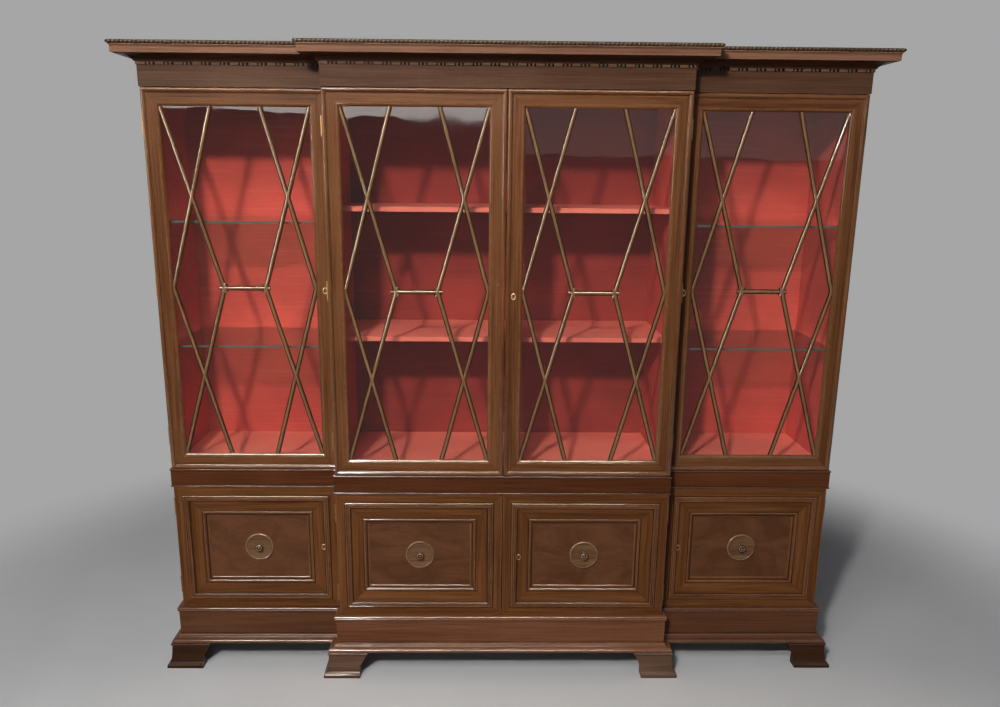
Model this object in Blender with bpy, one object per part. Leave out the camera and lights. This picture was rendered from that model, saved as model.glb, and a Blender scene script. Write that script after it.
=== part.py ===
# Breakfront bookcase: four astragal glazed doors over four panelled doors, the centre pair set forward.
# Metres, +Z up, +X to the right, the front towards -Y, the origin under the middle of the overall box.

from math import cos, pi, sin

import bmesh
import bpy
from mathutils import Vector

MM = 0.001

# Overall sizes
HEIGHT = 2200 * MM
CASE_WIDTH = 2380 * MM
CENTRE_WIDTH = 1190 * MM
CASE_DEPTH = 430 * MM
BREAK_DEPTH = 70 * MM

# Clearances
SEAT = 0.3 * MM
DOOR_GAP = 2 * MM
DOOR_REVEAL = 3.5 * MM
CENTRE_REVEAL = 1.5 * MM
BREAK_GAP = 4 * MM
MEETING_GAP = 3 * MM
DOOR_STANDOFF = 0.6 * MM
OVERRUN = 5 * MM
EMBED = 1 * MM

# Heights, from the floor up
FOOT_HEIGHT = 93 * MM
PLINTH_HEIGHT = 134 * MM
LOWER_DOOR_ZONE = 473 * MM
WAIST_HEIGHT = 68 * MM
FRIEZE_HEIGHT = 76 * MM
CORNICE_HEIGHT = 46 * MM
ROPE_HEIGHT = 12 * MM

# Boards
BOARD = 22 * MM
FLOOR_BOARD = 20 * MM
BACK_BOARD = 12 * MM
DOOR_THICKNESS = 22 * MM
WOOD_SHELF = 16 * MM
GLASS_SHELF = 8 * MM
SHELF_SETBACK = 18 * MM
WOOD_SHELF_TOPS = {"upper": 1692 * MM, "lower": 1246 * MM}
GLASS_SHELF_TOPS = {"upper": 1640 * MM, "lower": 1212 * MM}
SHELF_PIN_RADIUS = 3 * MM
SHELF_PIN_LENGTH = 9 * MM
SHELF_PIN_INSET = 45 * MM
SHELF_PIN_SIDES = 6

# Mouldings that run round the case, each as shares of its projection and its height
CORNICE_PROJECTION = 64 * MM
CORNICE_SEAT = 20 * MM
CORNICE_SHARES = ((0.08, 0.0), (0.14, 0.06), (0.17, 0.16), (0.26, 0.27), (0.42, 0.36), (0.62, 0.41),
                  (0.78, 0.42), (0.78, 0.46), (0.94, 0.46), (0.94, 0.88), (0.97, 0.93), (1.0, 0.95),
                  (1.0, 1.0))
ROPE_PROJECTION = 71 * MM
ROPE_SEAT = 22 * MM
ROPE_ARC_POINTS = 7
FRIEZE_PROJECTION = 1 * MM
FRET_HEIGHT = 9 * MM
FRET_PROJECTION = 5 * MM
FRET_PERIOD = 57.5 * MM
FRET_BLOCK_SHARES = ((0.04, 0.50), (0.60, 0.70), (0.82, 0.92))
WAIST_PROJECTION = 5 * MM
WAIST_SKIRT = 24 * MM
WAIST_SHARES = ((0.7, 0.0), (1.0, 0.03), (1.0, 0.075), (0.5, 0.10), (0.5, 0.90), (1.0, 0.925), (1.0, 0.97),
                (0.7, 1.0))
PLINTH_PROJECTION = 38 * MM
PLINTH_WALL = 16 * MM
PLINTH_LEDGE = 46 * MM
PLINTH_LEDGE_THICKNESS = 16 * MM
PLINTH_SHARES = ((0.92, 0.0), (1.0, 0.03), (1.0, 0.07), (0.93, 0.10), (0.72, 0.115), (0.52, 0.15),
                 (0.42, 0.20), (0.36, 0.215), (0.30, 0.235), (0.30, 0.88), (0.37, 0.89), (0.42, 0.91),
                 (0.37, 0.935), (0.44, 0.95), (0.44, 0.985), (0.38, 1.0))

# Bracket feet
FOOT_PROJECTION = 57 * MM
FOOT_SEAT = 8 * MM
FOOT_FRONT_ARM = 104 * MM
FOOT_SIDE_ARM = 130 * MM
BACK_FOOT_ARM = 110 * MM
SCROLL_WIDTH = 28 * MM
SCROLL_TOP = 86 * MM
SCROLL_HEIGHT = 40 * MM
SCROLL_STEPS = 6
FOOT_SHARES = ((1.0, 0.0), (1.0, 0.13), (0.97, 0.17), (0.88, 0.20), (0.80, 0.25), (0.77, 0.33), (0.74, 0.36),
               (0.68, 0.92), (0.73, 0.94), (0.73, 1.0))

# Glazed upper doors: the frame's section runs from its outer edge inwards, as (inset, depth behind the face)
GLAZED_FRAME = 56 * MM
WING_INNER_STILE = 46 * MM
GLAZING_REBATE = 8 * MM
GLASS_DEPTH = 10 * MM
OVOLO_WIDTH = 9 * MM
OVOLO_DEPTH = 5 * MM
OVOLO_SHARES = ((0.0, 0.0), (0.0, 0.25), (0.35, 0.15), (0.75, 0.45), (1.0, 1.0))
GLASS_THICKNESS = 3 * MM
EDGE_MOULD_WIDTH = 15 * MM
EDGE_MOULD_HEIGHT = 6 * MM
EDGE_MOULD_SETBACK = 0.6 * MM
EDGE_MOULD_SHARES = ((0.0, 0.0), (0.0, 0.55), (0.16, 0.88), (0.42, 1.0), (0.68, 0.88), (0.84, 0.6),
                     (1.0, 0.35), (1.0, 0.0))
BAR_WIDTH = 14 * MM
BAR_FRONT_DEPTH = 1 * MM
BAR_TIE_SHARE = 0.3
BAR_SHARES = ((-0.5, 0.0), (-0.5, 0.45), (-0.34, 0.85), (0.0, 1.0), (0.34, 0.85), (0.5, 0.45), (0.5, 0.0))
# The astragal lattice, as shares of the daylight's width and height
LATTICE_SHARES = (((0.0, 1.0), (0.355, 0.5)), ((0.355, 0.5), (0.0, 0.0)), ((0.3333, 1.0), (0.0, 0.5)),
                  ((0.0, 0.5), (0.3333, 0.0)), ((1.0, 1.0), (0.645, 0.5)), ((0.645, 0.5), (1.0, 0.0)),
                  ((0.6667, 1.0), (1.0, 0.5)), ((1.0, 0.5), (0.6667, 0.0)), ((0.355, 0.5), (0.645, 0.5)))

# Panelled lower doors: the section as shares of the frame's width and of the door's thickness
PANEL_FRAME = 105 * MM
PANEL_REBATE = 10 * MM
PANEL_DEPTH = 13 * MM
PANEL_THICKNESS = 8 * MM
PANEL_SECTION_SHARES = ((0.0, 0.0), (0.20, 0.0), (0.21, -0.22), (0.235, -0.29), (0.27, -0.23),
                        (0.31, -0.30), (0.37, -0.30), (0.385, -0.10), (0.42, -0.04), (0.60, 0.06),
                        (0.80, 0.24), (0.825, 0.14), (0.875, 0.13), (0.905, 0.25), (0.915, 0.40),
                        (0.965, 0.42), (1.0, 0.52))

# Turned pulls: a dished roundel with its knob, as shares of the radius and of the height over the panel
PULL_RADIUS = 51.5 * MM
PULL_HEIGHT = 21 * MM
PULL_SIDES = 20
PULL_SHARES = ((1.0, 0.0), (1.0, 0.22), (0.95, 0.34), (0.88, 0.29), (0.70, 0.16), (0.30, 0.14), (0.13, 0.34),
               (0.13, 0.48), (0.27, 0.66), (0.28, 0.80), (0.20, 0.94), (0.08, 1.0))

# Butt hinges: three knuckles on a pin, the outer two and the pin with the case, the middle one with the door
KNUCKLE_RADIUS = 3.2 * MM
PIN_RADIUS = 1.4 * MM
BORE_RADIUS = 1.8 * MM
LEAF = 2 * MM
HINGE_LENGTH = 66 * MM
MIDDLE_KNUCKLE = 26 * MM
HINGE_SIDES = 8
UPPER_HINGE_SHARES = (0.09, 0.5, 0.91)
LOWER_HINGE_SHARES = (0.17, 0.83)

# Locks: a bolt that slides out of the stile's edge into a mortise
BOLT_HEIGHT = 18 * MM
BOLT_THICKNESS = 6 * MM
BOLT_DEPTH = 12.5 * MM
BOLT_TRAVEL = 10 * MM
BOLT_SETBACK = 0.5 * MM
UPPER_BOLT_LENGTH = 32 * MM
LOWER_BOLT_LENGTH = 52 * MM
MORTISE_DEPTH = BOLT_TRAVEL - BOLT_SETBACK
UPPER_LOCK_HEIGHT = 1419 * MM
LOWER_LOCK_HEIGHT = 474 * MM

# Levels and planes that follow from these sizes
PLINTH_TOP = FOOT_HEIGHT + PLINTH_HEIGHT
WAIST_BOTTOM = PLINTH_TOP + LOWER_DOOR_ZONE
WAIST_TOP = WAIST_BOTTOM + WAIST_HEIGHT
ROPE_BOTTOM = HEIGHT - ROPE_HEIGHT
CORNICE_BOTTOM = ROPE_BOTTOM - CORNICE_HEIGHT
FRIEZE_BOTTOM = CORNICE_BOTTOM - FRIEZE_HEIGHT
HALF_CASE = CASE_WIDTH / 2
HALF_CENTRE = CENTRE_WIDTH / 2
BACK = (CASE_DEPTH + BREAK_DEPTH + ROPE_PROJECTION) / 2
WING_FRONT = BACK - CASE_DEPTH
CENTRE_FRONT = WING_FRONT - BREAK_DEPTH
CASE_EDGE = DOOR_THICKNESS + DOOR_STANDOFF
BACK_FACE = BACK - BACK_BOARD - SEAT
UPPER_FLOOR_TOP = WAIST_TOP + SEAT + FLOOR_BOARD
LOWER_FLOOR_TOP = PLINTH_TOP + SEAT + FLOOR_BOARD
WAIST_BOARD_BOTTOM = WAIST_TOP - BOARD
LOWER_DOOR = (PLINTH_TOP + DOOR_GAP, WAIST_BOTTOM - DOOR_GAP)
UPPER_DOOR = (WAIST_TOP + DOOR_GAP, FRIEZE_BOTTOM - DOOR_GAP)

# Each bay: its name, its two edges, the plane of its front, the side its door hangs on and its lock
BAYS = (
    ("left_wing", -HALF_CASE + DOOR_REVEAL, -HALF_CENTRE - BREAK_GAP, WING_FRONT, -1, True),
    ("centre_left", -HALF_CENTRE + CENTRE_REVEAL, -MEETING_GAP / 2, CENTRE_FRONT, -1, False),
    ("centre_right", MEETING_GAP / 2, HALF_CENTRE - CENTRE_REVEAL, CENTRE_FRONT, 1, True),
    ("right_wing", HALF_CENTRE + BREAK_GAP, HALF_CASE - DOOR_REVEAL, WING_FRONT, 1, True),
)


def clear_scene():
    for obj in list(bpy.data.objects):
        bpy.data.objects.remove(obj, do_unlink=True)


def finish(name, colour, roughness, metallic=0.0, alpha=1.0):
    """A plain surface for one kind of piece."""
    material = bpy.data.materials.new(name)
    material.use_nodes = True
    shader = material.node_tree.nodes["Principled BSDF"]
    shader.inputs["Base Color"].default_value = (*colour, 1.0)
    shader.inputs["Roughness"].default_value = roughness
    shader.inputs["Metallic"].default_value = metallic
    shader.inputs["Alpha"].default_value = alpha
    return material


def solid(name, points, faces, material):
    """An object from points and faces, with the faces turned outwards."""
    mesh = bpy.data.meshes.new(name)
    mesh.from_pydata([tuple(point) for point in points], [], faces)
    work = bmesh.new()
    work.from_mesh(mesh)
    bmesh.ops.recalc_face_normals(work, faces=work.faces)
    work.to_mesh(mesh)
    work.free()
    obj = bpy.data.objects.new(name, mesh)
    bpy.context.scene.collection.objects.link(obj)
    obj.data.materials.append(material)
    return obj


def box(name, low, high, material):
    """A board between two corners."""
    points = [(x, y, z) for x in (low[0], high[0]) for y in (low[1], high[1]) for z in (low[2], high[2])]
    faces = [(0, 1, 3, 2), (4, 6, 7, 5), (0, 4, 5, 1), (2, 3, 7, 6), (0, 2, 6, 4), (1, 5, 7, 3)]
    return solid(name, points, faces, material)


def plan(a, b, height):
    return Vector((a, b, height))


def front(a, b, depth):
    return Vector((a, depth, b))


def side(a, b, depth):
    return Vector((depth, a, b))


def prism(name, outline, low, high, place, material):
    """A closed outline drawn in one plane and extruded between two levels across it."""
    count = len(outline)
    points = [place(a, b, level) for level in (low, high) for a, b in outline]
    sides = [(i, (i + 1) % count, (i + 1) % count + count, i + count) for i in range(count)]
    faces = [*sides, tuple(range(count)), tuple(range(count, 2 * count))]
    return solid(name, points, faces, material)


def corners(path, closed):
    """The direction at each point of a path in which a mitred section is offset to the path's right."""
    count = len(path)
    normals = []
    for i in range(count if closed else count - 1):
        run = (Vector(path[(i + 1) % count]) - Vector(path[i])).normalized()
        normals.append(Vector((run.y, -run.x)))
    mitres = []
    for i in range(count):
        before = normals[i - 1] if closed or i > 0 else normals[0]
        after = normals[i] if closed or i < count - 1 else normals[-1]
        mitres.append((before + after) / (1 + before.dot(after)))
    return mitres


def sweep(name, section, path, place, material, closed=False):
    """A section of (offset to the right, level) points carried along a path with mitred corners."""
    rings = []
    for point, mitre in zip(path, corners(path, closed)):
        rings.append([place(*(Vector(point) + mitre * offset), level) for offset, level in section])
    count = len(section)
    points = [point for ring in rings for point in ring]
    faces = []
    for i in range(len(rings) if closed else len(rings) - 1):
        here, there = i * count, (i + 1) % len(rings) * count
        for j in range(count):
            k = (j + 1) % count
            faces.append((here + j, here + k, there + k, there + j))
    if not closed:
        faces += [tuple(range(count)), tuple(range(len(points) - count, len(points)))]
    return solid(name, points, faces, material)


def turned(name, profile, centre, sides, place, material):
    """A solid of revolution from (radius, level) points, closed with a flat at each end."""
    points = []
    for radius, level in profile:
        for i in range(sides):
            angle = 2 * pi * i / sides
            points.append(place(centre[0] + radius * cos(angle), centre[1] + radius * sin(angle), level))
    faces = []
    for ring in range(len(profile) - 1):
        for i in range(sides):
            j = (i + 1) % sides
            faces.append((ring * sides + i, ring * sides + j, (ring + 1) * sides + j, (ring + 1) * sides + i))
    faces += [tuple(range(sides)), tuple(range(len(points) - sides, len(points)))]
    return solid(name, points, faces, material)


def combine(target, others, operation):
    """Joins the other solids to the target, or cuts them from it, and removes them."""
    for other in others:
        modifier = target.modifiers.new(operation.lower(), "BOOLEAN")
        modifier.operation = operation
        modifier.object = other
        modifier.solver = "EXACT"
    graph = bpy.context.evaluated_depsgraph_get()
    mesh = bpy.data.meshes.new_from_object(target.evaluated_get(graph))
    target.modifiers.clear()
    target.data = mesh
    for other in others:
        bpy.data.objects.remove(other, do_unlink=True)
    return target


def scaled(shares, width, height, start=0.0, level=0.0):
    """Points given as shares of a width and a height, measured from a start and a level."""
    return [(start + a * width, level + b * height) for a, b in shares]


def case_path(front_setback=0.0, side_setback=0.0):
    """The case's outline in plan from its back left corner round the front to its back right corner."""
    end, centre = HALF_CASE - side_setback, HALF_CENTRE - side_setback
    wing, middle = WING_FRONT + front_setback, CENTRE_FRONT + front_setback
    left = [(-end, BACK), (-end, wing), (-centre, wing), (-centre, middle)]
    return left + [(-x, y) for x, y in reversed(left)]


def shelf_pins(board_x, into, tops, thickness, material):
    """The pins that stand out of a board under the ends of its shelves."""
    pins = []
    for top in tops.values():
        level = top - thickness - SEAT - SHELF_PIN_RADIUS
        for y in (WING_FRONT + CASE_EDGE + SHELF_PIN_INSET, BACK_FACE - SHELF_PIN_INSET):
            ends = (board_x - into * EMBED, board_x + into * SHELF_PIN_LENGTH)
            profile = [(SHELF_PIN_RADIUS, x) for x in ends]
            pins.append(turned("shelf_pin", profile, (y, level), SHELF_PIN_SIDES, side, material))
    return pins


def hinge_places(door, shares):
    low, high = door
    return [low + share * (high - low) for share in shares]


def hinge_axis(case_x, hand, face):
    """The hinge pin's place in plan, just outside the case's side and on the joint behind the door."""
    return case_x + hand * (KNUCKLE_RADIUS + SEAT), face + DOOR_THICKNESS + DOOR_STANDOFF / 2


def case_hinges(case_x, hand, face, levels, material):
    """The pins, outer knuckles and leaves of one door's hinges, which belong to the case."""
    pieces = []
    x, y = hinge_axis(case_x, hand, face)
    half, middle = HINGE_LENGTH / 2, MIDDLE_KNUCKLE / 2 + SEAT
    for z in levels:
        profile = [(KNUCKLE_RADIUS, z - half), (KNUCKLE_RADIUS, z - middle), (PIN_RADIUS, z - middle),
                   (PIN_RADIUS, z + middle), (KNUCKLE_RADIUS, z + middle), (KNUCKLE_RADIUS, z + half)]
        pieces.append(turned("pin", profile, (x, y), HINGE_SIDES, plan, material))
        for low, high in ((z - half + EMBED, z - middle - EMBED), (z + middle + EMBED, z + half - EMBED)):
            across = sorted((x - hand * BORE_RADIUS, case_x - hand * BOARD / 2))
            back = face + CASE_EDGE + SEAT
            pieces.append(box("leaf", (across[0], back, low), (across[1], back + LEAF, high), material))
    return pieces


def door_hinges(case_x, door_x, hand, face, levels, material):
    """The middle knuckles and leaves of one door's hinges, which belong to the door."""
    pieces = []
    x, y = hinge_axis(case_x, hand, face)
    half = MIDDLE_KNUCKLE / 2
    for z in levels:
        turns = [2 * pi * i / HINGE_SIDES for i in range(HINGE_SIDES)]
        bore = [(x + cos(turn) * BORE_RADIUS, y + sin(turn) * BORE_RADIUS) for turn in turns]
        wall = KNUCKLE_RADIUS - BORE_RADIUS
        section = [(0.0, z - half), (wall, z - half), (wall, z + half), (0.0, z + half)]
        knuckle = sweep("knuckle", section, bore, plan, material, closed=True)
        across = sorted((x - hand * (BORE_RADIUS + KNUCKLE_RADIUS) / 2, door_x - hand * EDGE_MOULD_WIDTH))
        back = face + DOOR_THICKNESS - SEAT
        low, high = z - half + EMBED, z + half - EMBED
        leaf = box("leaf", (across[0], back - LEAF, low), (across[1], back, high), material)
        pieces += [knuckle, leaf]
    return pieces


def bolt_box(name, edge_x, hand, face, level, length, grow, material, start=0.0):
    """A lock bolt, or with some growth the slot that it runs in; the lock is away from the hinge."""
    ends = sorted((edge_x + hand * (BOLT_SETBACK - start), edge_x + hand * (BOLT_SETBACK + length)))
    low = (ends[0], face + BOLT_DEPTH - BOLT_THICKNESS / 2 - grow, level - BOLT_HEIGHT / 2 - grow)
    high = (ends[1], face + BOLT_DEPTH + BOLT_THICKNESS / 2 + grow, level + BOLT_HEIGHT / 2 + grow)
    return box(name, low, high, material)


def mortise(edge_x, hand, face, level, material):
    """The cutter for the mortise that a bolt enters in the piece beyond the door's edge."""
    ends = sorted((edge_x + hand * OVERRUN, edge_x - hand * MORTISE_DEPTH))
    low = (ends[0], face + BOLT_DEPTH - BOLT_THICKNESS / 2 - SEAT, level - BOLT_HEIGHT / 2 - SEAT)
    high = (ends[1], face + BOLT_DEPTH + BOLT_THICKNESS / 2 + SEAT, level + BOLT_HEIGHT / 2 + SEAT)
    return box("mortise", low, high, material)


def make_cornice(wood):
    inner = -CORNICE_SEAT
    shape = scaled(CORNICE_SHARES, CORNICE_PROJECTION, CORNICE_HEIGHT - 2 * SEAT, 0.0, CORNICE_BOTTOM + SEAT)
    section = [(inner, shape[0][1]), *shape, (inner, shape[-1][1])]
    sweep("cornice_moulding", section, case_path(), plan, wood)
    radius = ROPE_HEIGHT / 2
    middle = ROPE_BOTTOM + radius
    turns = [-pi / 2 + pi * i / (ROPE_ARC_POINTS - 1) for i in range(ROPE_ARC_POINTS)]
    bead = [(ROPE_PROJECTION - radius + radius * cos(turn), middle + radius * sin(turn)) for turn in turns]
    inner = ROPE_PROJECTION - radius - ROPE_SEAT
    sweep("cornice_rope_edge", [(inner, ROPE_BOTTOM), *bead, (inner, HEIGHT)], case_path(), plan, wood)


def fret_line(start, end):
    """The stepped face of the fret course along one straight run, a whole number of repeats long."""
    start, end = Vector(start), Vector(end)
    run = (end - start).normalized()
    out = Vector((run.y, -run.x))
    length = (end - start).length
    repeats = max(1, round(length / FRET_PERIOD))
    points = []
    for i in range(repeats):
        for low, high in FRET_BLOCK_SHARES:
            first = start + run * length * (i + low) / repeats
            last = start + run * length * (i + high) / repeats
            rise = out * (FRET_PROJECTION - FRIEZE_PROJECTION / 2)
            points += [first, first + rise, last + rise, last]
    return points


def make_frieze(wood):
    """The frieze board with the fret course along its top edge."""
    inner = FRIEZE_PROJECTION - BOARD
    top = CORNICE_BOTTOM
    low = FRIEZE_BOTTOM + SEAT
    section = [(inner, low), (FRIEZE_PROJECTION, low), (FRIEZE_PROJECTION, top), (inner, top)]
    frieze = sweep("frieze_board", section, case_path(), plan, wood)
    half = FRIEZE_PROJECTION / 2
    face = case_path(-half, -half)
    outline = [face[0]]
    for start, end in zip(face, face[1:]):
        outline += [tuple(point) for point in fret_line(start, end)]
        outline.append(end)
    deep = FRIEZE_PROJECTION - BOARD / 2
    outline += list(reversed(case_path(-deep, -deep)))
    course = prism("fret", outline, top - FRET_HEIGHT, top - SEAT, plan, wood)
    combine(frieze, [course], "UNION")


def make_plates(wood, paint):
    """The boards that have the breakfront's outline: top, upper floor and lower floor."""
    outline = []
    for x, y in case_path(CASE_EDGE, BOARD + SEAT):
        across = x if abs(x) > HALF_CENTRE else x / abs(x) * HALF_CENTRE
        outline.append((across, min(y, BACK_FACE)))
    floors = (("upper_floor_board", WAIST_TOP + SEAT, paint), ("lower_floor_board", PLINTH_TOP + SEAT, wood))
    for name, low, material in floors:
        prism(name, outline, low, low + FLOOR_BOARD, plan, material)
    reach = BOARD - FRIEZE_PROJECTION + SEAT
    outline = [(x, min(y, BACK_FACE)) for x, y in case_path(reach, reach)]
    low = FRIEZE_BOTTOM + SEAT
    prism("top_board", outline, low, low + FLOOR_BOARD, plan, paint)


def make_waist(wood):
    """The base case's top board with its moulded band turned down round the front and ends."""
    shape = scaled(WAIST_SHARES, WAIST_PROJECTION, WAIST_HEIGHT, 0.0, WAIST_BOTTOM)
    inner = -WAIST_SKIRT
    section = [(inner, WAIST_BOTTOM), *shape, (inner, WAIST_TOP)]
    band = sweep("waist_board", section, case_path(), plan, wood)
    lap = WAIST_SKIRT / 2
    board = prism("board", case_path(lap, lap), WAIST_BOARD_BOTTOM, WAIST_TOP - SEAT, plan, wood)
    combine(band, [board], "UNION")


def make_plinth(wood):
    shape = scaled(PLINTH_SHARES, PLINTH_PROJECTION, PLINTH_HEIGHT, 0.0, FOOT_HEIGHT)
    ledge = PLINTH_TOP - PLINTH_LEDGE_THICKNESS
    section = [(-PLINTH_WALL, FOOT_HEIGHT), *shape, (-PLINTH_LEDGE, PLINTH_TOP), (-PLINTH_LEDGE, ledge),
               (-PLINTH_WALL, ledge)]
    sweep("plinth", section, case_path(), plan, wood)


def scroll_cutter(end, inward, place, low, high, material):
    """The cutter that leaves the cyma scroll on the free end of a bracket foot."""
    steps = [i / SCROLL_STEPS for i in range(SCROLL_STEPS + 1)]
    curve = []
    for t in steps:
        curve.append((end + inward * SCROLL_WIDTH * t, SCROLL_TOP - SCROLL_HEIGHT * t * t * (3 - 2 * t)))
    outside = end - inward * OVERRUN
    foot = end + inward * SCROLL_WIDTH
    outline = [(outside, SCROLL_TOP), *curve, (foot, -OVERRUN), (outside, -OVERRUN)]
    return prism("scroll", outline, low, high, place, material)


def make_foot(name, path, scrolls, wood):
    """A bracket foot: its flared section carried round the corner, with a scroll cut on each free end."""
    shape = scaled(FOOT_SHARES, FOOT_PROJECTION, FOOT_HEIGHT - SEAT)
    section = [(FOOT_SEAT, 0.0), *shape, (FOOT_SEAT, FOOT_HEIGHT - SEAT)]
    foot = sweep(name, section, path, plan, wood)
    combine(foot, scrolls, "DIFFERENCE")


def make_feet(wood):
    reach = FOOT_PROJECTION + OVERRUN
    for name, hand in (("left", -1), ("right", 1)):
        end, middle = hand * HALF_CASE, hand * HALF_CENTRE
        front_end = end - hand * FOOT_FRONT_ARM
        side_end = WING_FRONT + FOOT_SIDE_ARM
        path = [(end, side_end), (end, WING_FRONT), (front_end, WING_FRONT)][::-hand]
        cuts = [scroll_cutter(front_end, hand, front, WING_FRONT - reach, WING_FRONT, wood),
                scroll_cutter(side_end, -1, side, *sorted((end, end + hand * reach)), wood)]
        make_foot("front_foot_" + name, path, cuts, wood)
        inner_end = middle - hand * FOOT_FRONT_ARM
        path = [(middle, WING_FRONT), (middle, CENTRE_FRONT), (inner_end, CENTRE_FRONT)][::-hand]
        cuts = [scroll_cutter(inner_end, hand, front, CENTRE_FRONT - reach, CENTRE_FRONT, wood)]
        make_foot("centre_foot_" + name, path, cuts, wood)
        back_end = BACK - BACK_FOOT_ARM
        path = [(end, BACK), (end, back_end)][::-hand]
        cuts = [scroll_cutter(back_end, 1, side, *sorted((end, end + hand * reach)), wood)]
        make_foot("back_foot_" + name, path, cuts, wood)


def upper_sides(name, hand, wood, paint, brass):
    """One end and one partition of the upper case, with their fixed hinge halves, shelf pins and mortise."""
    levels = hinge_places(UPPER_DOOR, UPPER_HINGE_SHARES)
    end, middle = hand * HALF_CASE, hand * HALF_CENTRE
    inside = sorted((end, end - hand * BOARD))
    low = (inside[0], WING_FRONT + CASE_EDGE, WAIST_TOP + SEAT)
    board = box("upper_end_" + name, low, (inside[1], BACK, FRIEZE_BOTTOM), wood)
    pins = shelf_pins(end - hand * BOARD, -hand, GLASS_SHELF_TOPS, GLASS_SHELF, brass)
    combine(board, pins + case_hinges(end, hand, WING_FRONT, levels, brass), "UNION")
    inside = sorted((middle, middle - hand * BOARD))
    low = (inside[0], CENTRE_FRONT + CASE_EDGE, UPPER_FLOOR_TOP + SEAT)
    board = box("upper_partition_" + name, low, (inside[1], BACK_FACE, FRIEZE_BOTTOM), paint)
    pins = shelf_pins(middle - hand * BOARD, -hand, WOOD_SHELF_TOPS, WOOD_SHELF, brass)
    pins += shelf_pins(middle, hand, GLASS_SHELF_TOPS, GLASS_SHELF, brass)
    combine(board, pins + case_hinges(middle, hand, CENTRE_FRONT, levels, brass), "UNION")
    combine(board, [mortise(middle, hand, WING_FRONT, UPPER_LOCK_HEIGHT, wood)], "DIFFERENCE")


def lower_sides(name, hand, wood, brass):
    """One end and one partition of the base case, with their fixed hinge halves and mortise."""
    levels = hinge_places(LOWER_DOOR, LOWER_HINGE_SHARES)
    end, middle = hand * HALF_CASE, hand * HALF_CENTRE
    inside = sorted((end, end - hand * BOARD))
    low = (inside[0], WING_FRONT + CASE_EDGE, PLINTH_TOP + SEAT)
    board = box("lower_end_" + name, low, (inside[1], BACK, WAIST_BOTTOM - SEAT), wood)
    combine(board, case_hinges(end, hand, WING_FRONT, levels, brass), "UNION")
    inside = sorted((middle, middle - hand * BOARD))
    low = (inside[0], CENTRE_FRONT + CASE_EDGE, LOWER_FLOOR_TOP + SEAT)
    board = box("lower_partition_" + name, low, (inside[1], BACK_FACE, WAIST_BOARD_BOTTOM - SEAT), wood)
    notch_low = (inside[0] - OVERRUN, CENTRE_FRONT, WAIST_BOTTOM - SEAT)
    notch_high = (inside[1] + OVERRUN, WING_FRONT + WAIST_SKIRT + SEAT, WAIST_TOP)
    notch = box("notch", notch_low, notch_high, wood)
    combine(board, [notch, mortise(middle, hand, WING_FRONT, LOWER_LOCK_HEIGHT, wood)], "DIFFERENCE")
    combine(board, case_hinges(middle, hand, CENTRE_FRONT, levels, brass), "UNION")


def make_case(wood, paint, brass):
    for name, hand in (("left", -1), ("right", 1)):
        upper_sides(name, hand, wood, paint, brass)
        lower_sides(name, hand, wood, brass)
    reach = HALF_CASE - BOARD - SEAT
    near = BACK - BACK_BOARD
    box("upper_back", (-reach, near, WAIST_TOP + SEAT), (reach, BACK, FRIEZE_BOTTOM), paint)
    reach = HALF_CASE - WAIST_SKIRT - SEAT
    box("lower_back", (-reach, near, PLINTH_TOP + SEAT), (reach, BACK, WAIST_BOARD_BOTTOM - SEAT), wood)


def make_shelves(paint, glass):
    reach = HALF_CENTRE - BOARD - SEAT
    low = WING_FRONT + CASE_EDGE + SHELF_SETBACK
    for name, top in WOOD_SHELF_TOPS.items():
        box("centre_shelf_" + name, (-reach, low, top - WOOD_SHELF), (reach, BACK_FACE - SEAT, top), paint)
    near, far = HALF_CENTRE + SEAT, HALF_CASE - BOARD - SEAT
    for side_name, hand in (("left", -1), ("right", 1)):
        for name, top in GLASS_SHELF_TOPS.items():
            ends = sorted((hand * near, hand * far))
            shelf = f"{side_name}_glass_shelf_{name}"
            box(shelf, (ends[0], low, top - GLASS_SHELF), (ends[1], BACK_FACE - SEAT, top), glass)


def edge_moulding(left, right, low, high, face, hand, wing, wood):
    """The raised moulding on a glazed door's face: round all four edges, or round three on a wing."""
    shape = scaled(EDGE_MOULD_SHARES, EDGE_MOULD_WIDTH, -EDGE_MOULD_HEIGHT, EDGE_MOULD_SETBACK, face)
    section = [(shape[0][0], face + EMBED), *shape[1:-1], (shape[-1][0], face + EMBED)]
    if not wing:
        path = [(left, low), (left, high), (right, high), (right, low)]
        return sweep("edge_moulding", section, path, front, wood, closed=True)
    path = [(right, low), (left, low), (left, high), (right, high)]
    if hand > 0:
        path = [(left, high), (right, high), (right, low), (left, low)]
    return sweep("edge_moulding", section, path, front, wood)


def frame_section(width, face):
    """The glazed frame's section: flat face, ovolo, daylight edge and glazing rebate."""
    ovolo = scaled(OVOLO_SHARES, OVOLO_WIDTH, OVOLO_DEPTH, width - OVOLO_WIDTH, face)
    back, glass = face + DOOR_THICKNESS, face + GLASS_DEPTH
    rebate = width - GLAZING_REBATE
    return [(0.0, back), (0.0, face), *ovolo, (width, glass), (rebate, glass), (rebate, back)]


def glazed_frame(name, left, right, low, high, face, stiles, wood):
    """A mitred frame whose two stiles may differ in width; the rails follow the full width."""
    sections = [frame_section(width, face) for width in (stiles[0], stiles[1], GLAZED_FRAME)]
    points = []
    for (a, y), (b, _), (c, _) in zip(*sections):
        for x, z in ((left + a, low + c), (left + a, high - c), (right - b, high - c), (right - b, low + c)):
            points.append((x, y, z))
    count = len(sections[0])
    faces = []
    for i in range(count):
        for j in range(4):
            k, n = (j + 1) % 4, (i + 1) % count
            faces.append((4 * i + j, 4 * i + k, 4 * n + k, 4 * n + j))
    return solid(name, points, faces, wood)


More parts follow.
